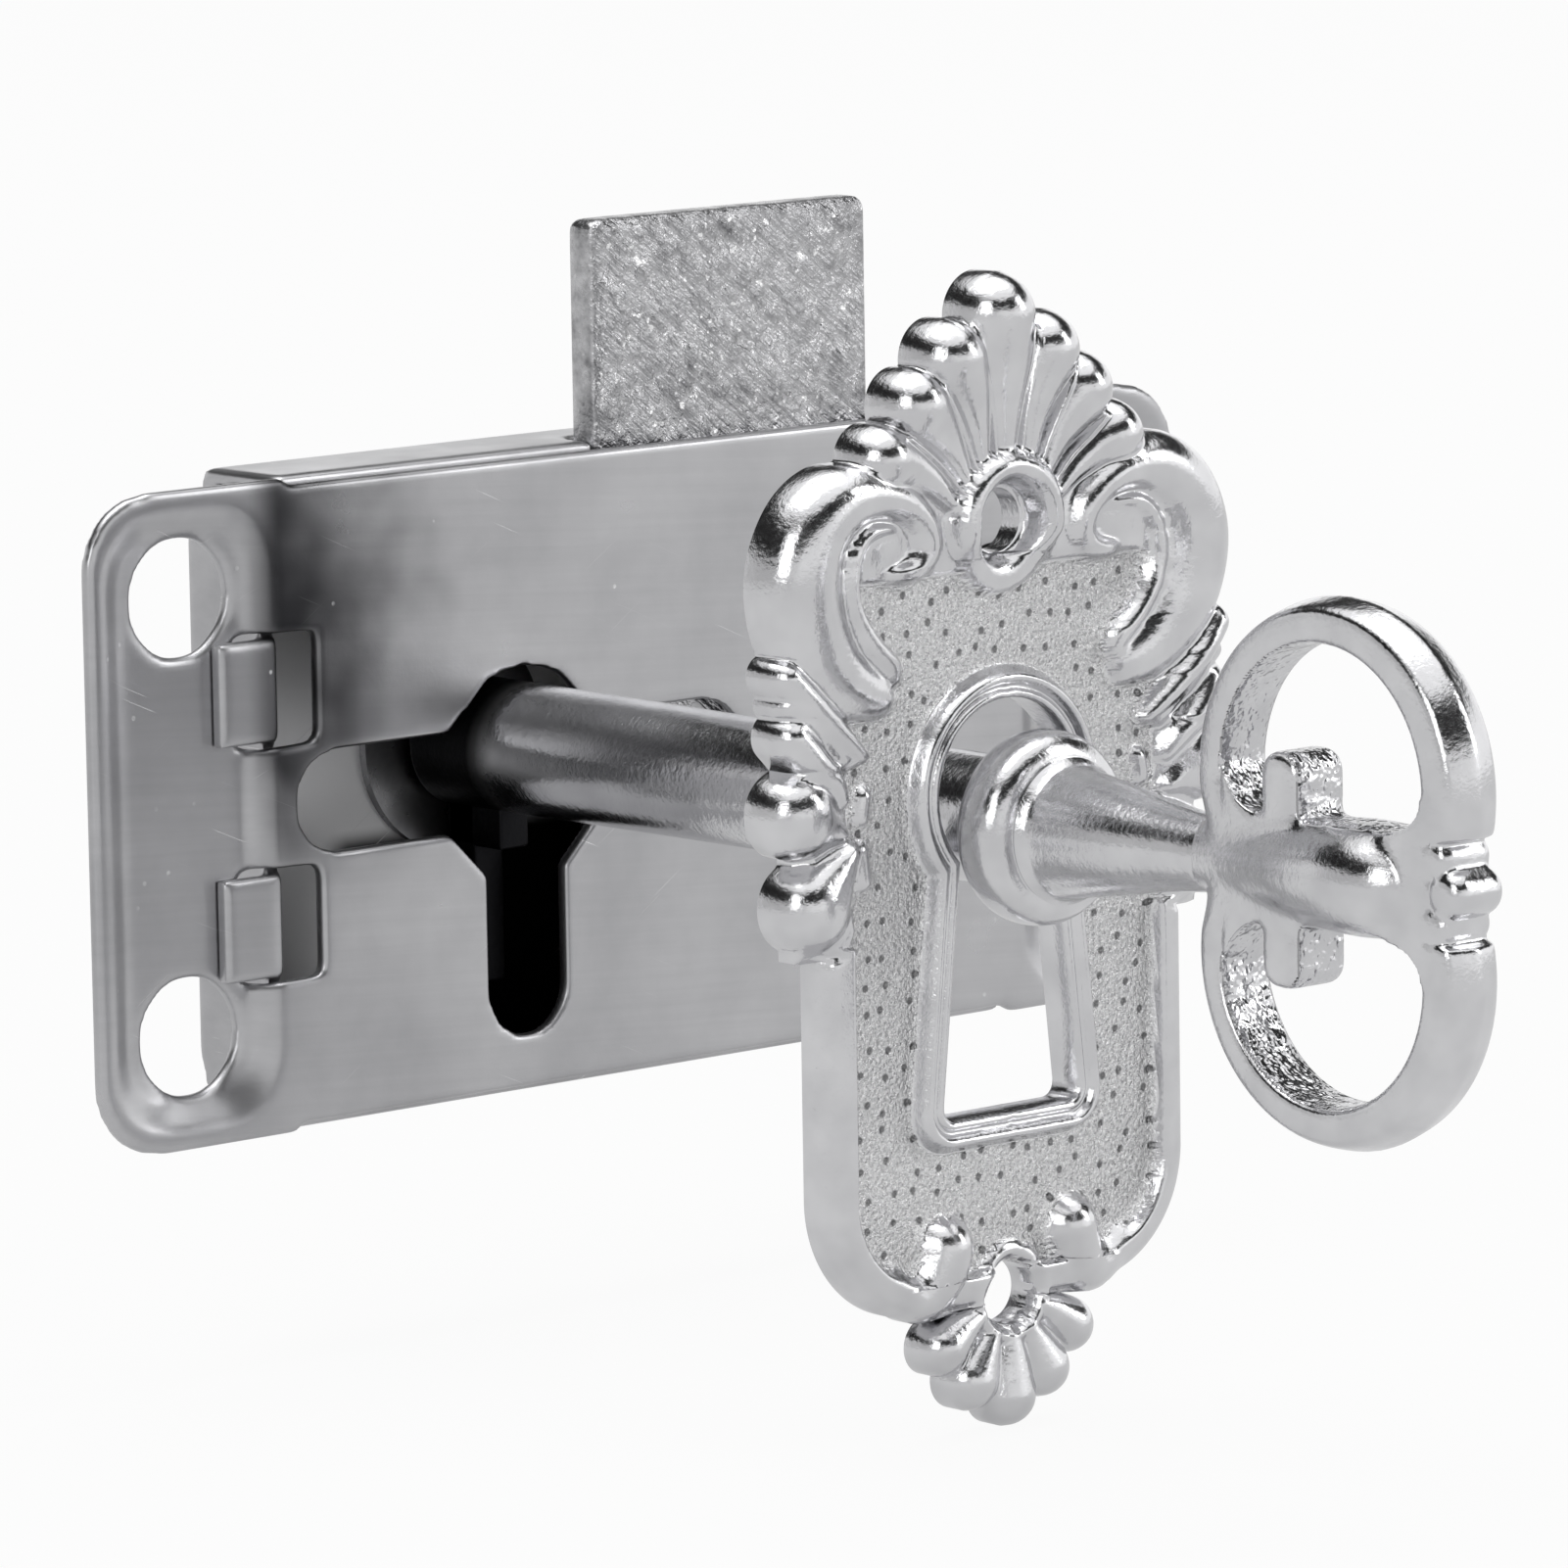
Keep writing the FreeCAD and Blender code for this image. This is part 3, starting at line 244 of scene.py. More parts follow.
scratchLine = {"cell": (9.0, 3, 0.12), "noise": (1.0, 0.4), "step": (0.735, 0.785)}
sheetLook = {
    "clean": "#c8c8ca", "dull": "#929295", "scratch": "#dededf",
    "paintedDarkReflection": "#2b2b2e", "inner": "#f0f0f1", "paintedShadeBlack": "#101011",
    "roughLow": 0.24, "roughHigh": 0.42, "stray": 7.0,
    # a painted dark reflection: a dark patch beside the left well, only on the plate's face; from 0 to 1, in
    # millimetres
    "reflectionAcross": (-9.5, -21.0), "reflectionUp": (-1.0, 6.5), "pastWell": (-26.0, -23.5), "onFace": (0.8, 0.4),
    # the tray's floor inside the case, painted pale as painted light, and painted black under the bit as painted
    # shade
    "inCase": (3.5, 4.5), "facesFront": (-0.5, -0.8), "underBit": (-2.6, -3.8), "rightOfSlot": (-17.0, -15.0),
    "patterns": {
        "cloud": {"cell": 9.0, "noise": (4.0, 0.55)},
        "fine": {"cell": 0.35, "noise": (3.0, 0.6)},
        "rolled": {"cell": (14, 1, 0.45), "turn": (0, 4, 0), "noise": (3.0, 0.6)},
        "scratchUp": {**scratchLine, "turn": (0, 24, 0)},
        "scratchDown": {**scratchLine, "turn": (0, -34, 0)},
        "scratched": {"cell": 11.0, "noise": (1.0, 0.5), "step": (0.45, 0.6, 0.0, 0.5)},
        "speck": {"kind": "TexVoronoi", "cell": 1.7, "step": (0.09, 0.04)},
        "speckled": {"cell": 4.0, "noise": (3.0, 0.5), "step": (0.525, 0.65, 0.0, 0.8)},
        "wander": {"cell": 6.0, "noise": (2.0, 0.5)},
        "dents": {"cell": 5.0, "noise": (1.0, 0.5)},
    },
}


def makeSheet():
    # Zinc-plated mild steel sheet, rolled and then pressed: a grey satin gleam with soft clouds,
    # bright hair-fine scratches and small specks. The rolling grain is 0.05 mm and is drawn at 0.35 mm.
    # Inside the case the tray's floor is painted pale, painted light, and black under the bit, painted shade. The
    # plate's face beside the left well has a painted dark reflection.
    k = sheetLook
    material, tree = newMaterial("zincPlatedSheet")
    p = addPatterns(tree, k["patterns"])
    place = addNode(tree, "TexCoord").outputs["Object"]
    place = addNode(tree, "Mapping", {0: place, "Scale": [mm] * 3}, vector_type="TEXTURE")
    axes = addNode(tree, "SeparateXYZ", (place,)).outputs
    facing = addNode(tree, "SeparateXYZ", (addNode(tree, "NewGeometry").outputs["Normal"],)).outputs[1]
    strayX, strayZ = (
        addNode(tree, "Math", (p["wander"], k["stray"], axes[axis]), operation="MULTIPLY_ADD") for axis in (0, 2)
    )
    # each step goes from 0 to 1 over its span
    step = {
        name: addNode(tree, "MapRange", (value, *k[name]), interpolation_type="SMOOTHSTEP")
        for name, value in (
            ("reflectionAcross", strayX), ("reflectionUp", strayZ), ("pastWell", axes[0]), ("onFace", axes[1]),
            ("inCase", axes[1]), ("facesFront", facing), ("underBit", axes[2]), ("rightOfSlot", axes[0]),
        )
    }
    lines = addNode(tree, "Math", (p["scratchUp"], p["scratchDown"]), operation="MAXIMUM")
    scratch = addNode(tree, "Math", (lines, p["scratched"]), operation="MULTIPLY")
    speck = addNode(tree, "Math", (p["speck"], p["speckled"]), operation="MULTIPLY")
    marks = addNode(tree, "Math", (scratch, speck), operation="MAXIMUM")
    # painted light: the tray's floor inside the case, where it faces the front, is painted pale
    inner = addNode(tree, "Math", (step["inCase"], step["facesFront"]), operation="MULTIPLY")
    finishMetal(
        tree, k["clean"],
        (
            (k["dull"], p["cloud"], 0.55), (k["dull"], p["rolled"], 0.18),
            # painted dark reflection beside the left well, on the plate's face only
            (k["paintedDarkReflection"], step["reflectionAcross"], step["reflectionUp"], step["pastWell"], step["onFace"], 0.95),
            # painted light, pale, on the tray's floor, and painted shade, black, on it under the bit
            (k["inner"], inner), (k["paintedShadeBlack"], inner, step["underBit"], step["rightOfSlot"]), (k["scratch"], marks),
        ),
        k["roughLow"], ((p["cloud"], k["roughHigh"] - k["roughLow"]), (scratch, -0.08), (inner, 0.3)),
        ((p["rolled"], 0.002), (p["fine"], 0.0025), (p["dents"], 0.03), (marks, -0.012)),
    )
    return material


castLook = {
    # the pit colour is painted shade in the pits, and the last colour is black painted shade for the key's end inside
    # the case
    "bright": "#dcdcde", "shade": "#b0b0b3", "field": "#fefefe", "pit": "#3e3e40", "paintedShade": "#1d1d1f",
    "patterns": {
        "ripple": {"cell": 2.4, "noise": (2.0, 0.5)},
        "small": {"cell": 0.28, "noise": (3.0, 0.6)},
        "grit": {"cell": 0.2, "noise": (2.0, 0.7)},
        "gritCell": {"kind": "TexVoronoi", "cell": 0.3},
        # pits 0.16 mm in radius and 1.45 mm apart, with soft edges from 0.6 to 1.35 of the radius; their dark colour
        # is painted shade
        "pit": {
            "kind": "TexVoronoi", "cell": 1.45, "turn": (90, 0, 7), "inputs": {"Randomness": 0.6},
            "settings": {"voronoi_dimensions": "2D"}, "step": (1.35 * 0.16 / 1.45, 0.6 * 0.16 / 1.45),
        },
        "wrinkle": {"cell": 1.7, "noise": (3.0, 0.6)},
    },
}


def makeCasting():
    # Zinc die casting under bright nickel: mirror-like high spots with the slight ripple of a tumbled
    # casting, a frosted field with small punched pits where the "grain" attribute is 1, the pits darkened
    # as painted shade, a wrinkled skin where "rough" is 1, and black painted shade where the third attribute is 1.
    # The field's grit is 0.1 mm and is drawn at 0.2 mm so that it shows.
    k = castLook
    material, tree = newMaterial("nickelPlatedCasting")
    p = addPatterns(tree, k["patterns"])
    grain, rough, paintedShade = (
        addNode(tree, "Attribute", attribute_name=name).outputs["Fac"] for name in ("grain", "rough", "paintedShade")
    )
    finishMetal(
        tree, k["bright"],
        (
            (k["shade"], p["ripple"], 0.4), (k["field"], grain, 0.9), (k["shade"], p["grit"], grain, 0.8),
            # the last two coats are painted shade: darker pits, and black on the key's end inside the case
            (k["shade"], p["wrinkle"], rough, 0.35), (k["pit"], p["pit"], grain, 0.7), (k["paintedShade"], paintedShade),
        ),
        0.13, ((p["small"], 0.08), (grain, 0.11), (paintedShade, 0.25)),
        (
            (p["small"], 0.011), (p["ripple"], 0.018), (p["grit"], grain, 0.12), (p["gritCell"], grain, 0.05),
            (p["wrinkle"], rough, 0.3), (p["pit"], grain, -0.14),
        ),
    )
    return material


boltLook = {
    "bright": "#cacacc", "dull": "#404044", "speck": "#f4f4f5",
    # how far a face looks along y, and the share of cast skin it gets
    "skin": (0.6, 0.95, 0.25, 1.0),
    "patterns": {
        "streak": {"cell": (7.0, 2.0, 1.3), "turn": (0, 38, 0), "noise": (4.0, 0.65)},
        "wrinkle": {"cell": 1.0, "noise": (4.0, 0.65)},
        "broad": {"cell": 3.5, "noise": (2.0, 0.5)},
        "speck": {"cell": 0.55, "noise": (2.0, 0.6), "step": (0.65, 0.71)},
    },
}


def makeBoltCasting():
    # Zinc die casting, plated but not polished: a wrinkled skin with diagonal flow streaks and
    # bright sparkling specks, smoother on the narrow edges.
    k = boltLook
    material, tree = newMaterial("rawZincCasting")
    p = addPatterns(tree, k["patterns"])
    normal = addNode(tree, "NewGeometry").outputs["Normal"]
    facing = addNode(tree, "Math", (addNode(tree, "SeparateXYZ", (normal,)).outputs[1],), operation="ABSOLUTE")
    skin = addNode(tree, "MapRange", (facing, *k["skin"]), interpolation_type="SMOOTHSTEP")
    finishMetal(
        tree, k["bright"], ((k["dull"], p["streak"], p["wrinkle"], 1.15), (k["speck"], p["speck"], skin)),
        0.2, ((p["wrinkle"], 0.2),),
        ((p["wrinkle"], skin, 0.16), (p["streak"], skin, 0.28), (p["broad"], skin, 0.4)),
    )
    return material


turnedLook = {
    "bright": "#a4a4a6", "dull": "#77777a",
    "patterns": {
        # one ring is 2 pi of the wave's own units
        "rings": {
            "kind": "TexWave", "cell": 0.25, "inputs": {"Scale": 1 / 6.283, "Distortion": 0.6},
            "settings": {"bands_direction": "Y"}, "output": 1,
        },
        "cloud": {"cell": 1.5, "noise": (3.0, 0.5)},
    },
}


def makeTurned():
    # Turned mild steel: fine tool rings round the pin's own axis, 0.1 mm apart and drawn at 0.25 mm.
    k = turnedLook
    material, tree = newMaterial("turnedSteel")
    p = addPatterns(tree, k["patterns"])
    finishMetal(tree, k["bright"], ((k["dull"], p["cloud"]),), 0.24, ((p["cloud"], 0.12),), ((p["rings"], 0.004),))
    return material


springLook = {
    "bright": "#6d7177", "dull": "#4d5157",
    "patterns": {
        "drawn": {"cell": (12, 1, 0.33), "noise": (3.0, 0.6)},
        "cloud": {"cell": 3.0, "noise": (2.0, 0.5)},
    },
}


def makeSpringSteel():
    # Hardened and tempered strip: dark blue-grey, drawn lengthwise, slightly oily.
    k = springLook
    material, tree = newMaterial("springSteelStrip")
    p = addPatterns(tree, k["patterns"])
    finishMetal(tree, k["bright"], ((k["dull"], p["cloud"]),), 0.22, ((p["drawn"], 0.16),), ((p["drawn"], 0.003),))
    return material


# The escutcheon's relief as height above its back, in millimetres, over x and z
# measured from the keyhole's own axis. Each stroke runs through (x, z, radius, top).
reliefStrokes = {
    "crown1": [(0, 18.2, 0.85, 2.25), (0, 20.6, 1.35, 2.5), (0, 22.9, 1.9, 2.95), (0, 24.75, 2.05, 3.25)],
    "crown2": [(1.45, 18.3, 0.65, 2.25), (1.8, 20.1, 1.05, 2.45), (2.3, 21.7, 1.55, 2.8), (2.9, 22.95, 1.9, 3.15)],
    "crown3": [(2.5, 17.5, 0.6, 2.25), (3.3, 18.9, 1.0, 2.4), (4.2, 20.05, 1.45, 2.7), (5.1, 20.95, 1.8, 3.05)],
    "crown4": [(3.3, 16.4, 0.6, 2.25), (4.5, 17.5, 0.95, 2.4), (5.9, 18.3, 1.35, 2.6), (7.15, 18.65, 1.7, 2.95)],
    "rib12": [(0.75, 18.0, 0.2, 2.35), (0.95, 19.8, 0.24, 2.45), (1.3, 21.6, 0.26, 2.6), (1.75, 23.3, 0.26, 2.6)],
    "rib23": [(1.95, 17.7, 0.2, 2.35), (2.6, 19.2, 0.24, 2.45), (3.35, 20.6, 0.26, 2.55), (4.1, 21.9, 0.26, 2.5)],
    "rib34": [(2.8, 16.8, 0.2, 2.35), (3.9, 17.95, 0.24, 2.4), (5.1, 18.9, 0.26, 2.5), (6.2, 19.7, 0.26, 2.45)],
    "scrollBand": [
        (7.7, 7.9, 1.2, 2.1), (9.0, 8.4, 1.6, 2.35), (10.5, 9.4, 1.95, 2.6), (11.7, 11.2, 2.2, 2.85),
        (12.15, 13.5, 2.2, 3.0), (11.5, 15.6, 2.0, 3.0), (10.1, 16.85, 1.75, 2.95), (8.3, 17.2, 1.35, 2.85),
        (6.5, 16.75, 1.1, 2.75), (5.2, 15.7, 0.95, 2.65), (4.8, 14.5, 0.85, 2.55), (5.5, 13.6, 0.75, 2.4),
        (6.7, 13.4, 0.55, 2.2),
    ],
    "scrollRoll": [
        (7.1, 15.6, 0.4, 2.1), (8.4, 15.5, 0.5, 2.35), (9.3, 14.6, 0.55, 2.5), (9.55, 13.2, 0.6, 2.55),
        (9.2, 11.7, 0.65, 2.55), (8.3, 10.4, 0.7, 2.5), (7.2, 9.4, 0.75, 2.4), (6.9, 8.8, 0.7, 2.2),
    ],
    "scrollEye": [(7.3, 14.9, 1.9, 1.9)],
    "leafUpper": [(13.3, 9.3, 1.0, 2.5), (12.1, 8.0, 0.95, 2.75), (10.4, 6.5, 0.8, 2.6), (8.9, 5.3, 0.55, 2.2)],
    "leafLower": [(12.9, 6.5, 1.15, 2.5), (11.9, 5.3, 1.0, 2.75), (10.8, 4.3, 0.8, 2.6), (10.1, 3.4, 0.5, 2.2)],
    "leafEdge": [(13.2, 8.0, 0.7, 2.2), (11.2, 6.3, 0.35, 2.3), (9.6, 4.9, 0.25, 2.1)],
    "bead": [(10.2, 1.9, 0.55, 2.2), (11.3, 2.4, 1.2, 2.45), (12.5, 2.9, 2.05, 2.95)],
    "bud": [(9.6, 1.0, 0.55, 2.2), (10.4, 0.1, 1.2, 2.45), (11.75, -1.45, 2.1, 2.95)],
    "ovalUpper": [(8.75, 2.5, 0.6, 1.85), (8.6, 3.4, 0.6, 1.85)],
    "ovalLower": [(8.7, -0.5, 0.65, 1.85), (8.8, 0.9, 0.6, 1.85)],
    "footCurl": [
        (7.2, -19.3, 0.8, 1.9), (6.3, -20.1, 1.0, 2.1), (5.3, -20.4, 1.25, 2.3), (4.6, -19.8, 1.4, 2.5),
        (4.1, -18.9, 1.55, 2.7), (3.9, -18.2, 1.6, 2.75),
    ],
    "foot1": [(0, -22.6, 0.6, 1.9), (0, -24.2, 1.2, 2.25), (0, -25.75, 1.5, 2.6)],
    "foot2": [(0.95, -22.3, 0.45, 1.9), (1.6, -23.5, 1.0, 2.2), (2.25, -24.75, 1.45, 2.5)],
    "foot3": [(1.75, -21.6, 0.45, 1.9), (2.85, -22.2, 0.95, 2.15), (3.95, -23.0, 1.35, 2.4)],
}
escutcheonSizes = {
    "wall": 0.9, "field": 1.2, "edgeSlope": 1.2,
    "ledge": 1.7, "ledgeZ": (12.95, 13.35), "ledgeSideX": (9.3, 10.2), "ledgeSideZ": (-3, -1),
    "halfWidth": 11.3, "cornerRadius": 6.2, "bottom": -21.4, "neckZ": 3.0,
    # the wedge behind the scrolls and lobes, and how steep its flat top and its slanted sides are
    "wedgeHalf": 12.6, "wedgeBottom": -4.0, "wedgeTop": 24.6, "wedgePeak": 24.8, "wedgeSlopes": (0.8, 0.75),
    # border: its outer bevel rises by these shares of borderTop over these shares of its width
    "borderTop": 2.1, "bevelWidth": 1.5, "borderInner": 2.0, "borderEndZ": -1.5, "footHalf": 4.2,
    "bevelShares": (0, 0.3, 0.45, 1), "bevelRises": (0, 0.72, 0.84, 1),
    # nail holes, the ring round the upper one, which is lowest below, and the collar round the lower one
    "nailRadius": 1.5, "nailTopZ": 15.3, "nailBottomZ": -20.9,
    "ringRadius": 2.6, "ringWire": 0.8, "ringTop": 2.9, "ringDrop": 1.0, "ringDropZ": (0.2, 2.4), "ringFoot": 0.3,
    "collarRadius": 2.0, "collarWire": 0.5, "collarLow": 1.3, "collarRise": 0.6,
    "sinkTop": 0.5, "sinkTopWidth": 0.7, "sinkBottom": 0.35, "sinkBottomWidth": 0.5,
    # keyhole
    "slotRadius": 4.3, "slotZ": 2.8, "slotTopHalf": 3.05, "slotBottomHalf": 4.35, "slotBottomZ": -12.3,
    "slotCorner": 0.8, "rimReach": 1.75,
    # its beads as distance from the edge, half width, foot and rise, and the band that they stand on
    "rimBeads": ((0.22, 0.3, 1.6, 0.42), (0.95, 0.44, 1.55, 0.62)),
    "rimBand": (1.3, 1.65), "rimBandHigh": 1.62, "rimBandLow": 1.2,
    # how wide each meeting of two forms is rounded
    "borderSoft": 0.15, "ringSoft": 0.2, "strokeSoft": 0.16, "collarSoft": 0.15,
    "beadSoft": 0.08, "rimSoft": 0.1, "softRounds": 3,
    # the grained field ends above, at both sides, at the keyhole's rim and below
    "grainTop": 13.2, "grainHalf": 9.8, "grainRim": 1.2, "grainBottom": -20.2,
    "centreX": -8.7, "backY": -33.0,
}
nothing = -1e3  # where a form isn't: far below every height
spare = 1e3  # and far outside every edge


def smoothStep(value, low, high):
    # 0 up to low, 1 from high on, and share^2 * (3 - 2 * share) between them
    share = np.clip((value - low) / (high - low), 0, 1)
    return share * share * (3 - 2 * share)


def denseStroke(points, spacing=0.12):
    # a Catmull-Rom curve through the points, with radius and top carried along
    p = np.array(points, float)
    if len(p) == 1:
        return p
    ends = np.vstack([2 * p[0] - p[1], p, 2 * p[-1] - p[-2]])
    rows = []
    for k in range(len(p) - 1):
        a, b, c, d = ends[k:k + 4]
        t = np.linspace(0, 1, max(2, int(np.hypot(*(c - b)[:2]) / spacing)), endpoint=False)[:, None]
        bend, twist = 2 * a - 5 * b + 4 * c - d, 3 * b - a - 3 * c + d
        rows.append(0.5 * (2 * b + (c - a) * t + bend * t ** 2 + twist * t ** 3))
    return np.vstack(rows + [p[-1:]])


def softMax(a, b, width):
    # the larger of two heights, with their meeting rounded over a width
    return np.maximum(a, b) + np.maximum(width - np.abs(a - b), 0) ** 2 / (4 * width)


def beadHeight(distance, half, foot, rise, power=0.5):
    # foot + rise * (1 - (distance / half)^2)^power; a power of 1/2 gives a round section, 1 a parabola
    bulge = np.clip(1 - (distance / half) ** 2, 0, 1) ** power
    return np.where(np.abs(distance) < half, foot + rise * bulge, nothing)


def strokeHeight(x, z, points, wall):
    # a round bead from the wall up to its top along the stroke
    height = np.full(x.shape, nothing)
    for px, pz, radius, top in denseStroke(points):
        height = np.maximum(height, beadHeight(np.hypot(x - px, z - pz), radius, wall, top - wall))
    return height


def bodyInside(x, z, s):
    # signed distance inside the body's outline: straight sides, quarter-round lower corners
    ax = np.abs(x)
    cx, cz = s["halfWidth"] - s["cornerRadius"], s["bottom"] + s["cornerRadius"]
    rounded = s["cornerRadius"] - np.hypot(ax - cx, z - cz)
    plain = np.minimum(s["halfWidth"] - ax, z - s["bottom"])
    return np.where((ax > cx) & (z < cz), rounded, plain)


def upperInside(x, z, s):
    # a plain wedge that fills the plate behind the scrolls and the fan of lobes: the least distance to its edges
    ax = np.abs(x)
    top, slant = s["wedgeSlopes"]
    return np.minimum.reduce([
        s["wedgeHalf"] - ax, z - s["wedgeBottom"], (s["wedgeTop"] - z) * top, (s["wedgePeak"] - z - ax) * slant,
    ])


def outlineField(x, z, s):
    # above zero inside the plate: the body below, the wedge above, and every stroke
    body = np.minimum(bodyInside(x, z, s), s["neckZ"] - z)
    field = np.maximum(body, upperInside(x, z, s))
    for points in reliefStrokes.values():
        for px, pz, radius, _ in denseStroke(points, 0.2):
            field = np.maximum(field, radius - np.hypot(x - px, z - pz))
    return field


def slotJoin(s):
    # where the slot meets the round: slotZ - sqrt(slotRadius^2 - slotTopHalf^2)
    return s["slotZ"] - math.sqrt(s["slotRadius"] ** 2 - s["slotTopHalf"] ** 2)


def keyholeOutside(x, z, s):
    # distance from the keyhole's edge: a round above, a slot with sloping sides below
    ax = np.abs(x)
    joinZ = slotJoin(s)
    fromRound = np.hypot(ax, z - s["slotZ"]) - s["slotRadius"]
    slope = (s["slotBottomHalf"] - s["slotTopHalf"]) / (joinZ - s["slotBottomZ"])
    side = (ax - s["slotBottomHalf"] + slope * (z - s["slotBottomZ"])) / math.hypot(1, slope)
    below = s["slotBottomZ"] - z
    r = s["slotCorner"]
    corner = np.hypot(np.maximum(side + r, 0), np.maximum(below + r, 0)) - r
    fromSlot = np.where((side > -r) & (below > -r), corner, np.maximum(side, below))
    fromSlot = np.where(z > joinZ, spare, fromSlot)
    return np.minimum(fromRound, fromSlot)


def reliefHeight(x, z, s):
    # the highest of all forms at each place, with their meetings rounded
    ax = np.abs(x)
    body = bodyInside(x, z, s)
    # field level, with a ledge above it and behind the ornaments
    beside = smoothStep(ax, *s["ledgeSideX"]) * smoothStep(z, *s["ledgeSideZ"])
    base = s["field"] + (s["ledge"] - s["field"]) * np.maximum(smoothStep(z, *s["ledgeZ"]), beside)
    base = np.minimum(base, s["wall"] + np.maximum(outlineField(x, z, s), 0) * s["edgeSlope"])
    # border: a bevel up from the outline, steep and then nearly flat, and a short steep step down to the field
    bevel = np.interp(np.clip(body / s["bevelWidth"], 0, 1), s["bevelShares"], s["bevelRises"])
    step = 1 - smoothStep(body, s["bevelWidth"] + 0.1, s["borderInner"])
    border = s["wall"] + (s["borderTop"] - s["wall"]) * bevel * step
    isBorder = (body > 0) & (z < s["borderEndZ"]) & ((z > s["bottom"] - 0.1) | (ax > s["footHalf"]))
    height = softMax(base, np.where(isBorder, border, nothing), s["borderSoft"])
    # ring round the upper nail hole, a bead turned into a funnel
    fromTop = np.hypot(x, z - s["nailTopZ"])
    foot = s["ledge"] - s["ringFoot"]
    ringTop = s["ringTop"] - s["ringDrop"] * smoothStep(s["nailTopZ"] - z, *s["ringDropZ"])
    ring = beadHeight(fromTop - s["ringRadius"], s["ringWire"], foot, ringTop - foot)
    height = softMax(height, ring, s["ringSoft"])
    for points in reliefStrokes.values():
        height = softMax(height, strokeHeight(x, z, points, s["wall"]), s["strokeSoft"])
    # a low collar round the lower nail hole
    fromBottom = np.hypot(x, z - s["nailBottomZ"])
    collar = beadHeight(fromBottom - s["collarRadius"], s["collarWire"], s["collarLow"], s["collarRise"])
    height = softMax(height, collar, s["collarSoft"])
    # the keyhole's double rim: two thin beads side by side on a low band
    edge = keyholeOutside(x, z, s)
    inner, outer = (beadHeight(edge - at, half, low, rise, 1) for at, half, low, rise in s["rimBeads"])
    band = s["rimBandHigh"] - (s["rimBandHigh"] - s["rimBandLow"]) * smoothStep(edge, *s["rimBand"])
    rim = np.maximum(softMax(inner, outer, s["beadSoft"]), np.where(edge < s["rimBand"][1], band, nothing))
    height = softMax(height, rim, s["rimSoft"])
    # both nail holes are a little sunk at their edges
    near = s["nailRadius"]
    height = height - s["sinkBottom"] * (1 - smoothStep(fromBottom, near, near + s["sinkBottomWidth"]))
    return height - s["sinkTop"] * (1 - smoothStep(fromTop, near, near + s["sinkTopWidth"]))


def gridLines(s):
    # pairs of an inner point, on the middle line or on a hole's edge, and an aim outside the plate
    def arc(centreZ, radius, first, last, count):
        t = np.radians(np.linspace(first, last, count, endpoint=False))
        return np.stack([radius * np.cos(t), centreZ + radius * np.sin(t)], 1)

    def line(first, last, count):
        t = np.linspace(0, 1, count, endpoint=False)[:, None]
        return np.array(first) * (1 - t) + np.array(last) * t

    joinZ = slotJoin(s)
    startAngle = math.degrees(math.asin((joinZ - s["slotZ"]) / s["slotRadius"]))
    low, high, nail = s["nailBottomZ"], s["nailTopZ"], s["nailRadius"]
    slotLow, slotHigh = s["slotBottomZ"], s["slotZ"] + s["slotRadius"]
    slotCorner, slotWaist = (s["slotBottomHalf"], slotLow), (s["slotTopHalf"], joinZ)
    side, fan, fanAngle, denseReach = 16, 14, 24, 1.8
    fanStart = (fan * math.cos(math.radians(fanAngle)), high + fan * math.sin(math.radians(fanAngle)))
    parts = [
        # lower nail hole, its lower and its upper half
        (arc(low, nail, -90, 0, 96), arc(low, side, -90, 0, 96)),
        (arc(low, nail, 0, 90, 16), line((side, low), (side, -20.6), 16)),
        # middle line up to the keyhole, then along its bottom, side and round
        (line((0, low + nail), (0, slotLow - denseReach), 22), line((side, -20.6), (side, -18.6), 22)),
        (line((0, slotLow - denseReach), (0, slotLow), 24), line((side, -18.6), (side, -17.3), 24)),
        (line((0, slotLow), slotCorner, 34), line((side, -17.3), (side, -15.6), 34)),
        (line(slotCorner, slotWaist, 46), line((side, -15.6), (side, -4.2), 46)),
        (arc(s["slotZ"], s["slotRadius"], startAngle, 90, 96), line((side, -4.2), (side, 9.6), 96)),
        # middle line up to the upper nail hole, then round it to the top
        (line((0, slotHigh), (0, slotHigh + denseReach), 24), line((side, 9.6), (side, 11.0), 24)),
        (line((0, slotHigh + denseReach), (0, high - nail), 24), line((side, 11.0), (side, 13.4), 24)),
        (arc(high, nail, -90, 0, 40), line((side, 13.4), (side, 18.0), 40)),
        (arc(high, nail, 0, 22, 24), line((side, 18.0), fanStart, 24)),
        (arc(high, nail, 22, 90.0001, 150), arc(high, fan, fanAngle, 90.0001, 150)),
    ]
    inner = np.vstack([p[0] for p in parts] + [[(0, high + nail)]])
    # the slot's corners are drawn in to their rounding: a step back along the slope of the distance, three times
    reach, tiny = 1.2, 1e-3
    for _ in range(3):
        x, z = inner[:, 0], inner[:, 1]
        gap = keyholeOutside(x, z, s)
        slope = np.stack([keyholeOutside(x + tiny, z, s) - gap, keyholeOutside(x, z + tiny, s) - gap], 1) / tiny
        near = (np.abs(x) > s["slotBottomHalf"] - reach) & (z < slotLow + reach) & (z > slotLow - 0.1)
        inner = inner - np.where(near, gap, 0)[:, None] * slope
    aim = np.vstack([p[1] for p in parts] + [[(0, high + fan)]])
    return inner, aim


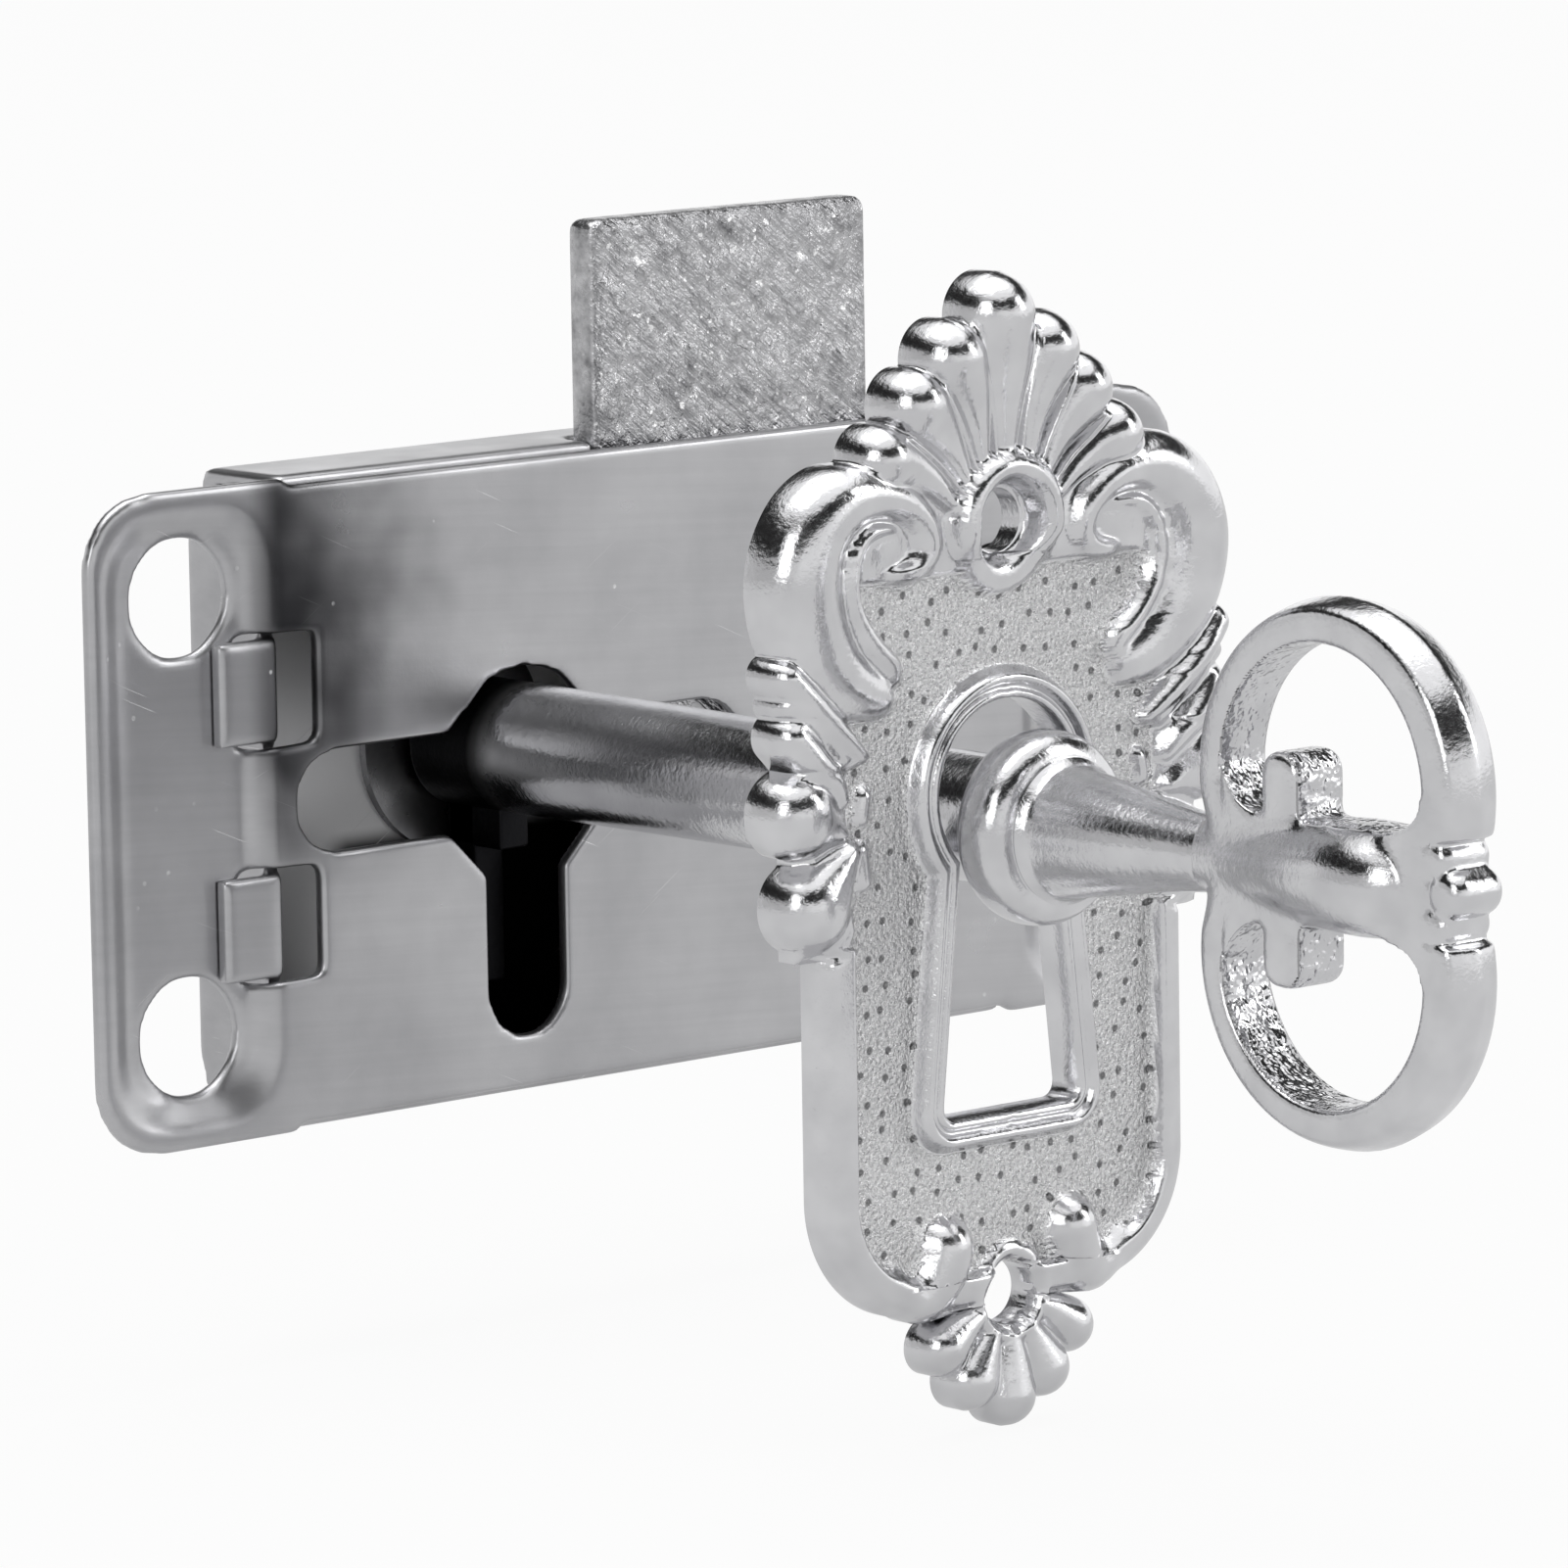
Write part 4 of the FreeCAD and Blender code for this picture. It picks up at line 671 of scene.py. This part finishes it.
def escutcheonHalf(s, columns=72, rimColumns=22):
    # each grid line runs from its inner point to where it leaves the plate for the last time;
    # its points stand at u - sin(2 pi u) / (4 pi), closer at both ends
    inner, aim = gridLines(s)
    reach = aim - inner
    share = np.linspace(0, 1, 420)
    x = inner[:, :1] + reach[:, :1] * share
    z = inner[:, 1:] + reach[:, 1:] * share
    field = outlineField(x, z, s)
    last = field.shape[1] - 1 - np.argmax(field[:, ::-1] > 0, axis=1)
    rows = np.arange(len(inner))
    a, b = field[rows, last], field[rows, np.minimum(last + 1, field.shape[1] - 1)]
    cut = (share[last] + (share[1] - share[0]) * a / np.maximum(a - b, 1e-6))[:, None]
    u = np.linspace(0, 1, columns)
    plain = cut * (u - np.sin(2 * math.pi * u) / (4 * math.pi))
    # round the keyhole the first columns keep to fixed distances from its edge, so that its thin beads run
    # even; the others follow at v + 0.4 sin(pi v) / pi of what is left, wider towards the outline
    gap = np.maximum.accumulate(keyholeOutside(x, z, s), axis=1)
    begin = np.clip(gap[:, :1], 0, s["rimReach"])
    levels = begin + (s["rimReach"] - begin) * np.linspace(0, 1, rimColumns)
    near = np.array([np.interp(level, row, share) for level, row in zip(levels, gap)])
    near[:, 0] = 0
    v = np.linspace(0, 1, columns - rimColumns + 1)[1:]
    far = near[:, -1:] + (cut - near[:, -1:]) * (v + 0.4 * np.sin(math.pi * v) / math.pi)
    weight = 1 - (begin / s["rimReach"]) ** 2
    place = weight * np.hstack([near, far]) + (1 - weight) * plain
    return inner[:, :1] + reach[:, :1] * place, inner[:, 1:] + reach[:, 1:] * place


def closedShell(rows, dropMiddle=True):
    # rows of closed loops joined by quads; faces that lie in the middle plane are left out
    count, loop = rows.shape[:2]
    index = np.arange(count * loop).reshape(count, loop)
    after = np.roll(index, -1, axis=1)
    faces = np.stack([index[:-1], after[:-1], after[1:], index[1:]], -1).reshape(-1, 4)
    points = rows.reshape(-1, 3)
    if dropMiddle:
        faces = faces[np.abs(points[faces][:, :, 0]).max(axis=1) > 1e-7]
    return points, faces


def cleanMesh(name, points, faces, attributes=None):
    # points in millimetres to a mesh in metres, with points that coincide merged and its faces turned outwards
    mesh = bpy.data.meshes.new(name)
    mesh.from_pydata(points * mm, [], faces)
    for label, values in (attributes or {}).items():
        mesh.attributes.new(label, "FLOAT", "POINT").data.foreach_set("value", values)
    shape = bmesh.new()
    shape.from_mesh(mesh)
    bmesh.ops.remove_doubles(shape, verts=shape.verts, dist=1e-7)
    bmesh.ops.dissolve_degenerate(shape, edges=shape.edges, dist=1e-8)
    bmesh.ops.recalc_face_normals(shape, faces=shape.faces)
    shape.to_mesh(mesh)
    shape.free()
    return mesh


def meshPiece(name, points, faces, attributes=None, sharpAngle=50):
    # an object with smooth faces that keeps its edges sharp from an angle in degrees on
    mesh = cleanMesh(name, points, faces, attributes)
    mesh.shade_smooth()
    mesh.set_sharp_from_angle(angle=math.radians(sharpAngle))
    piece = bpy.data.objects.new(name, mesh)
    bpy.context.scene.collection.objects.link(piece)
    return piece


def fieldMask(x, z, height, s):
    # 1 on the grained field, 0 on the polished relief
    level = 1 - smoothStep(height, s["field"] + 0.03, s["field"] + 0.15)
    within = (bodyInside(x, z, s) > s["bevelWidth"]) & (keyholeOutside(x, z, s) > s["grainRim"])
    within &= (z < s["grainTop"]) & (z > s["grainBottom"]) & (np.abs(x) < s["grainHalf"])
    return level * within


def makeEscutcheon():
    # the right half is a loop per grid line, out over the relief and back over the plain back;
    # the left half mirrors it
    s = escutcheonSizes
    x, z = escutcheonHalf(s)
    height = reliefHeight(x, z, s)
    grain = fieldMask(x, z, height, s)
    # the cast relief is soft: each height moves half way to the mean of its four neighbours, a few times
    for _ in range(s["softRounds"]):
        wide = np.pad(height, 1, mode="reflect")
        height = (4 * height + wide[:-2, 1:-1] + wide[2:, 1:-1] + wide[1:-1, :-2] + wide[1:-1, 2:]) / 8
    flat = np.zeros_like(height)
    back = [-1, -3, len(x[0]) // 2, 2, 0]  # columns that the plain back keeps, outer edge first
    loopX, loopZ, loopY, mask = (
        np.concatenate([front, behind[:, back]], axis=1)
        for front, behind in ((x, x), (z, z), (-height, flat), (grain, flat))
    )
    right, faces = closedShell(np.stack([loopX, loopY, loopZ], -1))
    left = right * [-1, 1, 1]
    points = np.vstack([right, left]) + [s["centreX"], s["backY"], 0]
    allFaces = np.vstack([faces, faces[:, ::-1] + len(right)])
    values = np.concatenate([mask.ravel(), mask.ravel()])
    piece = meshPiece("escutcheonCasting", points, allFaces, {"grain": values}, 78)
    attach(piece, "lock_case")
    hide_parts("escutcheon")
    print("escutcheon:", len(piece.data.polygons), "faces")
    return piece


keySizes = {
    "axisX": -8.7, "axisZ": 1.3,
    "boreRadius": 1.5, "boreEnd": -8.0, "boreTip": 0.8,
    "barrelEnd": 5.2, "barrelRadius": 3.25, "barrelSmall": 3.0, "endBevel": 0.25, "boreBevel": 0.15,
    "collarY": -37.1, "collarHalf": 1.6, "collarRadius": 4.55, "collarPower": 2.4,
    # y and radius down the neck to a hidden end, and on through the drop from a hidden start
    "neck": [(-38.72, 3.3), (-38.95, 3.42), (-39.3, 3.12), (-40.0, 2.97), (-43.0, 2.5), (-46.0, 2.02), (-48.6, 1.76)],
    "neckTail": [(-49.6, 1.62), (-50.4, 1.2), (-50.6, 0)],
    "dropLead": [(-46.4, 0), (-46.5, 1.2), (-47.3, 1.62), (-48.2, 1.74)],
    "drop": [
        (-48.6, 1.77), (-50.2, 1.78), (-52.2, 1.98), (-54.5, 2.28), (-56.5, 2.52),
        (-58.6, 2.66), (-60.4, 2.5), (-61.7, 1.85), (-62.5, 0.9), (-62.7, 0.0),
    ],
    # the drop stands prouder of the faces than it is wide by this factor, which grows in between these places
    "dropDepth": 1.14, "dropDeep": (50, 56),
    "bowHalf": 1.6, "loopY": -57.1, "loopZ": 4.1, "loopRadius": 8.0, "holeY": -56.8, "holeRadius": 6.3,
    "loopPower": 6.0, "crease": 0.4, "tipNotch": 2.35,
    "webHalf": 2.4, "webFlare": 1.9, "webLength": 6.45, "webRounding": 0.2,
    # prongs as lowest and highest y, nearest and farthest z, corner and edge rounding
    "prong": (-55.55, -53.05, 0.4, 5.35, 1.0, 0.5),
    # lobes at the tip as y, z on both sides, radius and edge rounding
    "sideLobe": (-63.9, 1.5, 0.88, 0.6), "tipLobe": (-64.5, 0.0, 1.12, 0.7),
    # bit steps as first and last y, farthest and nearest z below the axis
    "bits": ((0.95, 5.0, 5.1, 2.3), (2.95, 5.0, 12.0, 2.3)), "bitHalf": 0.9, "bitCorner": 0.25, "bitRounding": 0.15,
    # the drop flows into the web: rounds of easing there, which end at these distances from the axis and
    # along the key, and rounds for all of the bow
    "voxel": 0.135, "blendRounds": 34, "blendAcross": (2.6, 3.6), "blendAlong": (60.6, 61.8), "plainRounds": 5,
    # raw skin on the holes' walls: this far out from the hole, in from the faces, and in towards the drop
    "rawReach": 0.12, "rawInset": 0.2, "rawStart": -2.0,
    # where the key's black painted shade starts along it
    "paintedShadeAlong": (-1.6, 0.6),
}


def revolved(profile, s, count=112):
    # each (y, radius) of the profile turned round the key's axis: radius * cos and radius * sin of the angle
    profile = np.array(profile, float)
    angle = np.linspace(0, 2 * math.pi, count, endpoint=False)
    y, radius = profile[:, :1], profile[:, 1:]
    return closedShell(np.stack([
        s["axisX"] + radius * np.cos(angle), y + 0 * angle, s["axisZ"] + radius * np.sin(angle)
    ], -1), False)


def shaftProfile(s):
    # bore, barrel end, barrel, collar, and the neck down to where the bow's own neck takes over
    tip, bore, end = s["boreEnd"], s["boreRadius"], s["barrelEnd"]
    hole = [(tip - s["boreTip"], 0), (tip, bore), (end - s["boreBevel"], bore)]
    rim = [
        (end, bore + s["boreBevel"]),
        (end, s["barrelRadius"] - s["endBevel"]), (end - s["endBevel"], s["barrelRadius"]),
    ]
    # the barrel tapers evenly up to just before the collar
    share = np.linspace(0, 1, 60)
    first, last = end - 0.4, s["collarY"] + s["collarHalf"] + 0.3
    barrel = np.stack([first + (last - first) * share,
                       s["barrelRadius"] + (s["barrelSmall"] - s["barrelRadius"]) * share], 1)
    # the collar is a bead whose section is |y/half|^power + |r/height|^power = 1
    turn = np.linspace(0.06, math.pi - 0.16, 46)
    across, up = np.cos(turn), np.sin(turn)
    power = 2 / s["collarPower"]
    collar = np.stack([s["collarY"] + s["collarHalf"] * np.sign(across) * np.abs(across) ** power,
                       s["barrelSmall"] + (s["collarRadius"] - s["barrelSmall"]) * up ** power], 1)
    neck = denseStroke([(y, r, 0, 0) for y, r in s["neck"]], 0.25)[:, :2]
    return np.vstack([hole, rim, barrel, collar, neck, s["neckTail"]])


def bowNeckProfile(s):
    # starts hidden inside the shaft and swells into the drop
    drop = denseStroke([(y, r, 0, 0) for y, r in s["drop"]], 0.2)[:, :2]
    return np.vstack([s["dropLead"], drop])


def loopRing(side, s, count=260):
    # angle round the loop by a rounded-rectangle section, from the hole's edge to the outer edge,
    # with a low crease round the outside where the mould halves met
    angle = np.linspace(0, 2 * math.pi, count, endpoint=False)[:, None]
    turn = np.linspace(0, 2 * math.pi, 64, endpoint=False)
    power = 2 / s["loopPower"]
    a = np.sign(np.cos(turn)) * np.abs(np.cos(turn)) ** power
    b = np.sign(np.sin(turn)) * np.abs(np.sin(turn)) ** power
    shift = s["holeY"] - s["loopY"]
    inner = shift * np.cos(angle) + np.sqrt(s["holeRadius"] ** 2 - (shift * np.sin(angle)) ** 2)
    middle, half = (s["loopRadius"] + inner) / 2, (s["loopRadius"] - inner) / 2
    radius = middle + half * a + s["crease"] * np.clip(a, 0, 1) * (1 - np.abs(b))
    # each loop stops at the middle, and short of the tip's lobes
    stop = np.where(np.cos(angle) < 0, s["tipNotch"], 0)
    rows = np.stack([
        s["axisX"] + s["bowHalf"] * b + 0 * radius,
        s["loopY"] + radius * np.cos(angle),
        s["axisZ"] + side * np.maximum(s["loopZ"] + radius * np.sin(angle), stop),
    ], -1)
    return closedShell(np.concatenate([rows, rows[:1]]), False)


def flatForm(outline, half, rounding, s, steps=6):
    # an outline in (y, z) given thickness along x, its edges rounded by a quarter circle
    # and its faces fanned to the middle
    outline = np.array(outline, float)
    centre = outline.mean(axis=0)
    along = np.roll(outline, -1, 0) - np.roll(outline, 1, 0)
    normal = np.stack([along[:, 1], -along[:, 0]], 1) / np.hypot(*along.T)[:, None]
    if ((outline - centre) * normal).sum() < 0:
        normal = -normal
    turn = np.linspace(0, math.pi / 2, steps)
    offset = np.concatenate([rounding * (1 - np.sin(turn)), rounding * (1 - np.cos(turn))])
    x = np.concatenate([-(half - rounding) - rounding * np.cos(turn), (half - rounding) + rounding * np.sin(turn)])

    def inward(place, share):
        return np.column_stack([np.full(len(outline), place), centre + (outline - centre) * share])

    rows = [inward(x[0], 0.0), inward(x[0], 0.5)]
    rows += [np.column_stack([np.full(len(outline), d), outline - normal * o]) for o, d in zip(offset, x)]
    rows += [inward(x[-1], 0.5), inward(x[-1], 0.0)]
    return closedShell(np.stack(rows) + [s["axisX"], 0, 0], False)


def roundedOutline(y0, y1, z0, z1, radius, steps=7):
    # a rectangle with quarter-round corners
    turn = np.radians(np.linspace(0, 90, steps))
    corners = []
    for cy, cz, start in (
        (y1 - radius, z1 - radius, 0), (y0 + radius, z1 - radius, 90),
        (y0 + radius, z0 + radius, 180), (y1 - radius, z0 + radius, 270),
    ):
        angle = turn + math.radians(start)
        corners.append(np.stack([cy + radius * np.cos(angle), cz + radius * np.sin(angle)], 1))
    return np.vstack(corners)


def roundOutline(y, z, radius, count=40):
    # a circle: radius * cos and radius * sin of the angle
    angle = np.linspace(0, 2 * math.pi, count, endpoint=False)
    return np.stack([y + radius * np.cos(angle), z + radius * np.sin(angle)], 1)


def joined(forms):
    # several (points, faces) as one, with the faces counted on
    counts = np.cumsum([0] + [len(points) for points, _ in forms[:-1]])
    return np.vstack([points for points, _ in forms]), np.vstack([f + n for (_, f), n in zip(forms, counts)])


def meldedForms(forms, voxel):
    # closed forms that overlap become one skin of small squares
    holder = bpy.data.objects.new("forms", cleanMesh("forms", *joined(forms)))
    bpy.context.scene.collection.objects.link(holder)
    meld = holder.modifiers.new("meld", "REMESH")
    meld.mode, meld.voxel_size, meld.adaptivity = "VOXEL", voxel * mm, 0.0
    skin = bpy.data.meshes.new_from_object(holder.evaluated_get(bpy.context.evaluated_depsgraph_get()))
    points, faces = meshArrays(skin, 4)
    bpy.data.objects.remove(holder)
    bpy.data.meshes.remove(skin)
    return points, faces


def meshArrays(mesh, sides):
    # a mesh's points in millimetres and its faces, all with the same number of sides
    points = np.empty(3 * len(mesh.vertices))
    mesh.vertices.foreach_get("co", points)
    corners = np.empty(len(mesh.loops), int)
    mesh.loops.foreach_get("vertex_index", corners)
    return points.reshape(-1, 3) / mm, corners.reshape(-1, sides)


def eased(points, faces, rounds, share):
    # each point moves half way to the mean of its neighbours, times its share, again and again
    edges = np.vstack([faces[:, [k, (k + 1) % 4]] for k in range(4)])
    edges = np.unique(np.sort(edges, axis=1), axis=0)
    ends, others = np.vstack([edges, edges[:, ::-1]]).T.copy()
    number = np.bincount(ends, minlength=len(points))[:, None]
    for _ in range(rounds):
        mean = np.stack([np.bincount(ends, points[others, k], len(points)) for k in range(3)], 1) / number
        points = points + 0.5 * share[:, None] * (mean - points)
    return points


def makeKey():
    s = keySizes
    ax, az = s["axisX"], s["axisZ"]
    shaft = revolved(shaftProfile(s), s)
    drop, dropFaces = revolved(bowNeckProfile(s), s)
    drop[:, 0] = ax + (drop[:, 0] - ax) * (1 + (s["dropDepth"] - 1) * smoothStep(-drop[:, 1], *s["dropDeep"]))
    forms = [(drop, dropFaces), loopRing(1, s), loopRing(-1, s)]
    # the web widens towards both loops:
    # half height = webHalf + webFlare * (distance from its middle / half length)^8
    along = np.linspace(-1, 1, 41)
    tall = s["webHalf"] + s["webFlare"] * along ** 8
    reach = s["webLength"] * along
    web = np.concatenate([
        np.stack([s["loopY"] + reach, az + tall], 1), np.stack([s["loopY"] - reach, az - tall[::-1]], 1),
    ])
    forms.append(flatForm(web, s["bowHalf"], s["webRounding"], s))
    y0, y1, near, far, corner, rounding = s["prong"]
    lobeY, lobeZ, lobeRadius, lobeRounding = s["sideLobe"]
    for side in (1, -1):
        low, high = sorted((az + side * near, az + side * far))
        forms.append(flatForm(roundedOutline(y0, y1, low, high, corner, 9), s["bowHalf"], rounding, s))
        forms.append(flatForm(roundOutline(lobeY, az + side * lobeZ, lobeRadius), s["bowHalf"], lobeRounding, s))
    lobeY, lobeZ, lobeRadius, lobeRounding = s["tipLobe"]
    forms.append(flatForm(roundOutline(lobeY, az + lobeZ, lobeRadius), s["bowHalf"], lobeRounding, s))
    points, faces = meldedForms(forms, s["voxel"])
    # the drop flows into the web: it is eased much more than the rest, except at its round end
    fromAxis = np.hypot(points[:, 0] - ax, points[:, 2] - az)
    soft = (1 - smoothStep(fromAxis, *s["blendAcross"])) * (1 - smoothStep(-points[:, 1], *s["blendAlong"]))
    points = eased(points, faces, s["plainRounds"], np.ones(len(points)))
    points = eased(points, faces, s["blendRounds"], soft)
    # the holes' walls keep the casting's raw skin
    z = np.abs(points[:, 2] - az) - s["loopZ"]
    raw = (np.hypot(points[:, 1] - s["holeY"], z) < s["holeRadius"] + s["rawReach"]) & (z > s["rawStart"])
    raw &= np.abs(points[:, 0] - ax) < s["bowHalf"] - s["rawInset"]
    bits = [
        flatForm(roundedOutline(first, last, az - far, az - near, s["bitCorner"]), s["bitHalf"], s["bitRounding"], s)
        for first, last, far, near in s["bits"]
    ]
    sharpPoints, sharpFaces = joined([shaft] + bits)
    allPoints, allFaces = joined([(sharpPoints, sharpFaces), (points, faces)])
    rough = np.concatenate([np.zeros(len(sharpPoints)), raw.astype(float)])
    # painted shade: the end that works inside the case is painted black
    paintedShade = smoothStep(allPoints[:, 1], *s["paintedShadeAlong"])
    piece = meshPiece("keyCasting", allPoints, allFaces, {"rough": rough, "paintedShade": paintedShade})
    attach(piece, "key")
    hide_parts("key")
    print("key:", len(piece.data.polygons), "faces,", len(faces), "of them the bow")
    return piece


meldedSizes = {
    # the side of the skin's squares in millimetres, rounds of easing everywhere, more rounds in the drawn wells
    "facePlateSheet": {
        "node": "front_plate", "body": "lock_case", "slot": "plated_sheet",
        "voxel": 0.24, "plainRounds": 4, "wellRounds": 6,
    },
    "caseSheet": {
        "node": "case", "body": "lock_case", "slot": "plated_sheet",
        "voxel": 0.27, "plainRounds": 2, "wellRounds": 0,
    },
    "boltCasting": {
        "node": "bolt", "body": "bolt", "slot": "raw_casting",
        "voxel": 0.19, "plainRounds": 7, "wellRounds": 0,
    },
}
wellStart = (21.5, 23.5)  # from here outwards the sheet is drawn into its wells, in millimetres from the middle


def makeMelded(name):
    # the CAD solid as one skin of small squares, eased until its corners are round
    s = meldedSizes[name]
    points, faces = meldedForms([meshArrays(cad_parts[s["node"]].data, 3)], s["voxel"])
    points = eased(points, faces, s["plainRounds"], np.ones(len(points)))
    points = eased(points, faces, s["wellRounds"], smoothStep(np.abs(points[:, 0]), *wellStart))
    piece = meshPiece(name, points, faces)
    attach(piece, s["body"])
    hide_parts(s["node"])
    print(name + ":", len(faces), "faces")
    return piece


addCamera()
addStage()
addLights()
finishes = {
    "sheet": makeSheet(), "casting": makeCasting(), "boltCasting": makeBoltCasting(),
    "turned": makeTurned(), "spring": makeSpringSteel(),
}
finishOf = {
    "front_plate": "sheet", "case": "sheet", "bolt": "boltCasting", "key": "casting", "escutcheon": "casting",
    "drill_pin": "turned", "bolt_guide_stud": "turned", "spring_rivet": "turned", "friction_spring": "spring",
}
for name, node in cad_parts.items():
    node.data.materials.clear()
    node.data.materials.append(finishes[finishOf[name]])
print("materials made")
pieces = [
    (makeEscutcheon(), "casting"),
    (makeKey(), "casting"),
    (makeMelded("facePlateSheet"), "sheet"),
    (makeMelded("caseSheet"), "sheet"),
    (makeMelded("boltCasting"), "boltCasting"),
]
for piece, finish in pieces:
    piece.data.materials.clear()
    piece.data.materials.append(finishes[finish])

view = bpy.context.scene.view_settings
view.view_transform = "Standard"
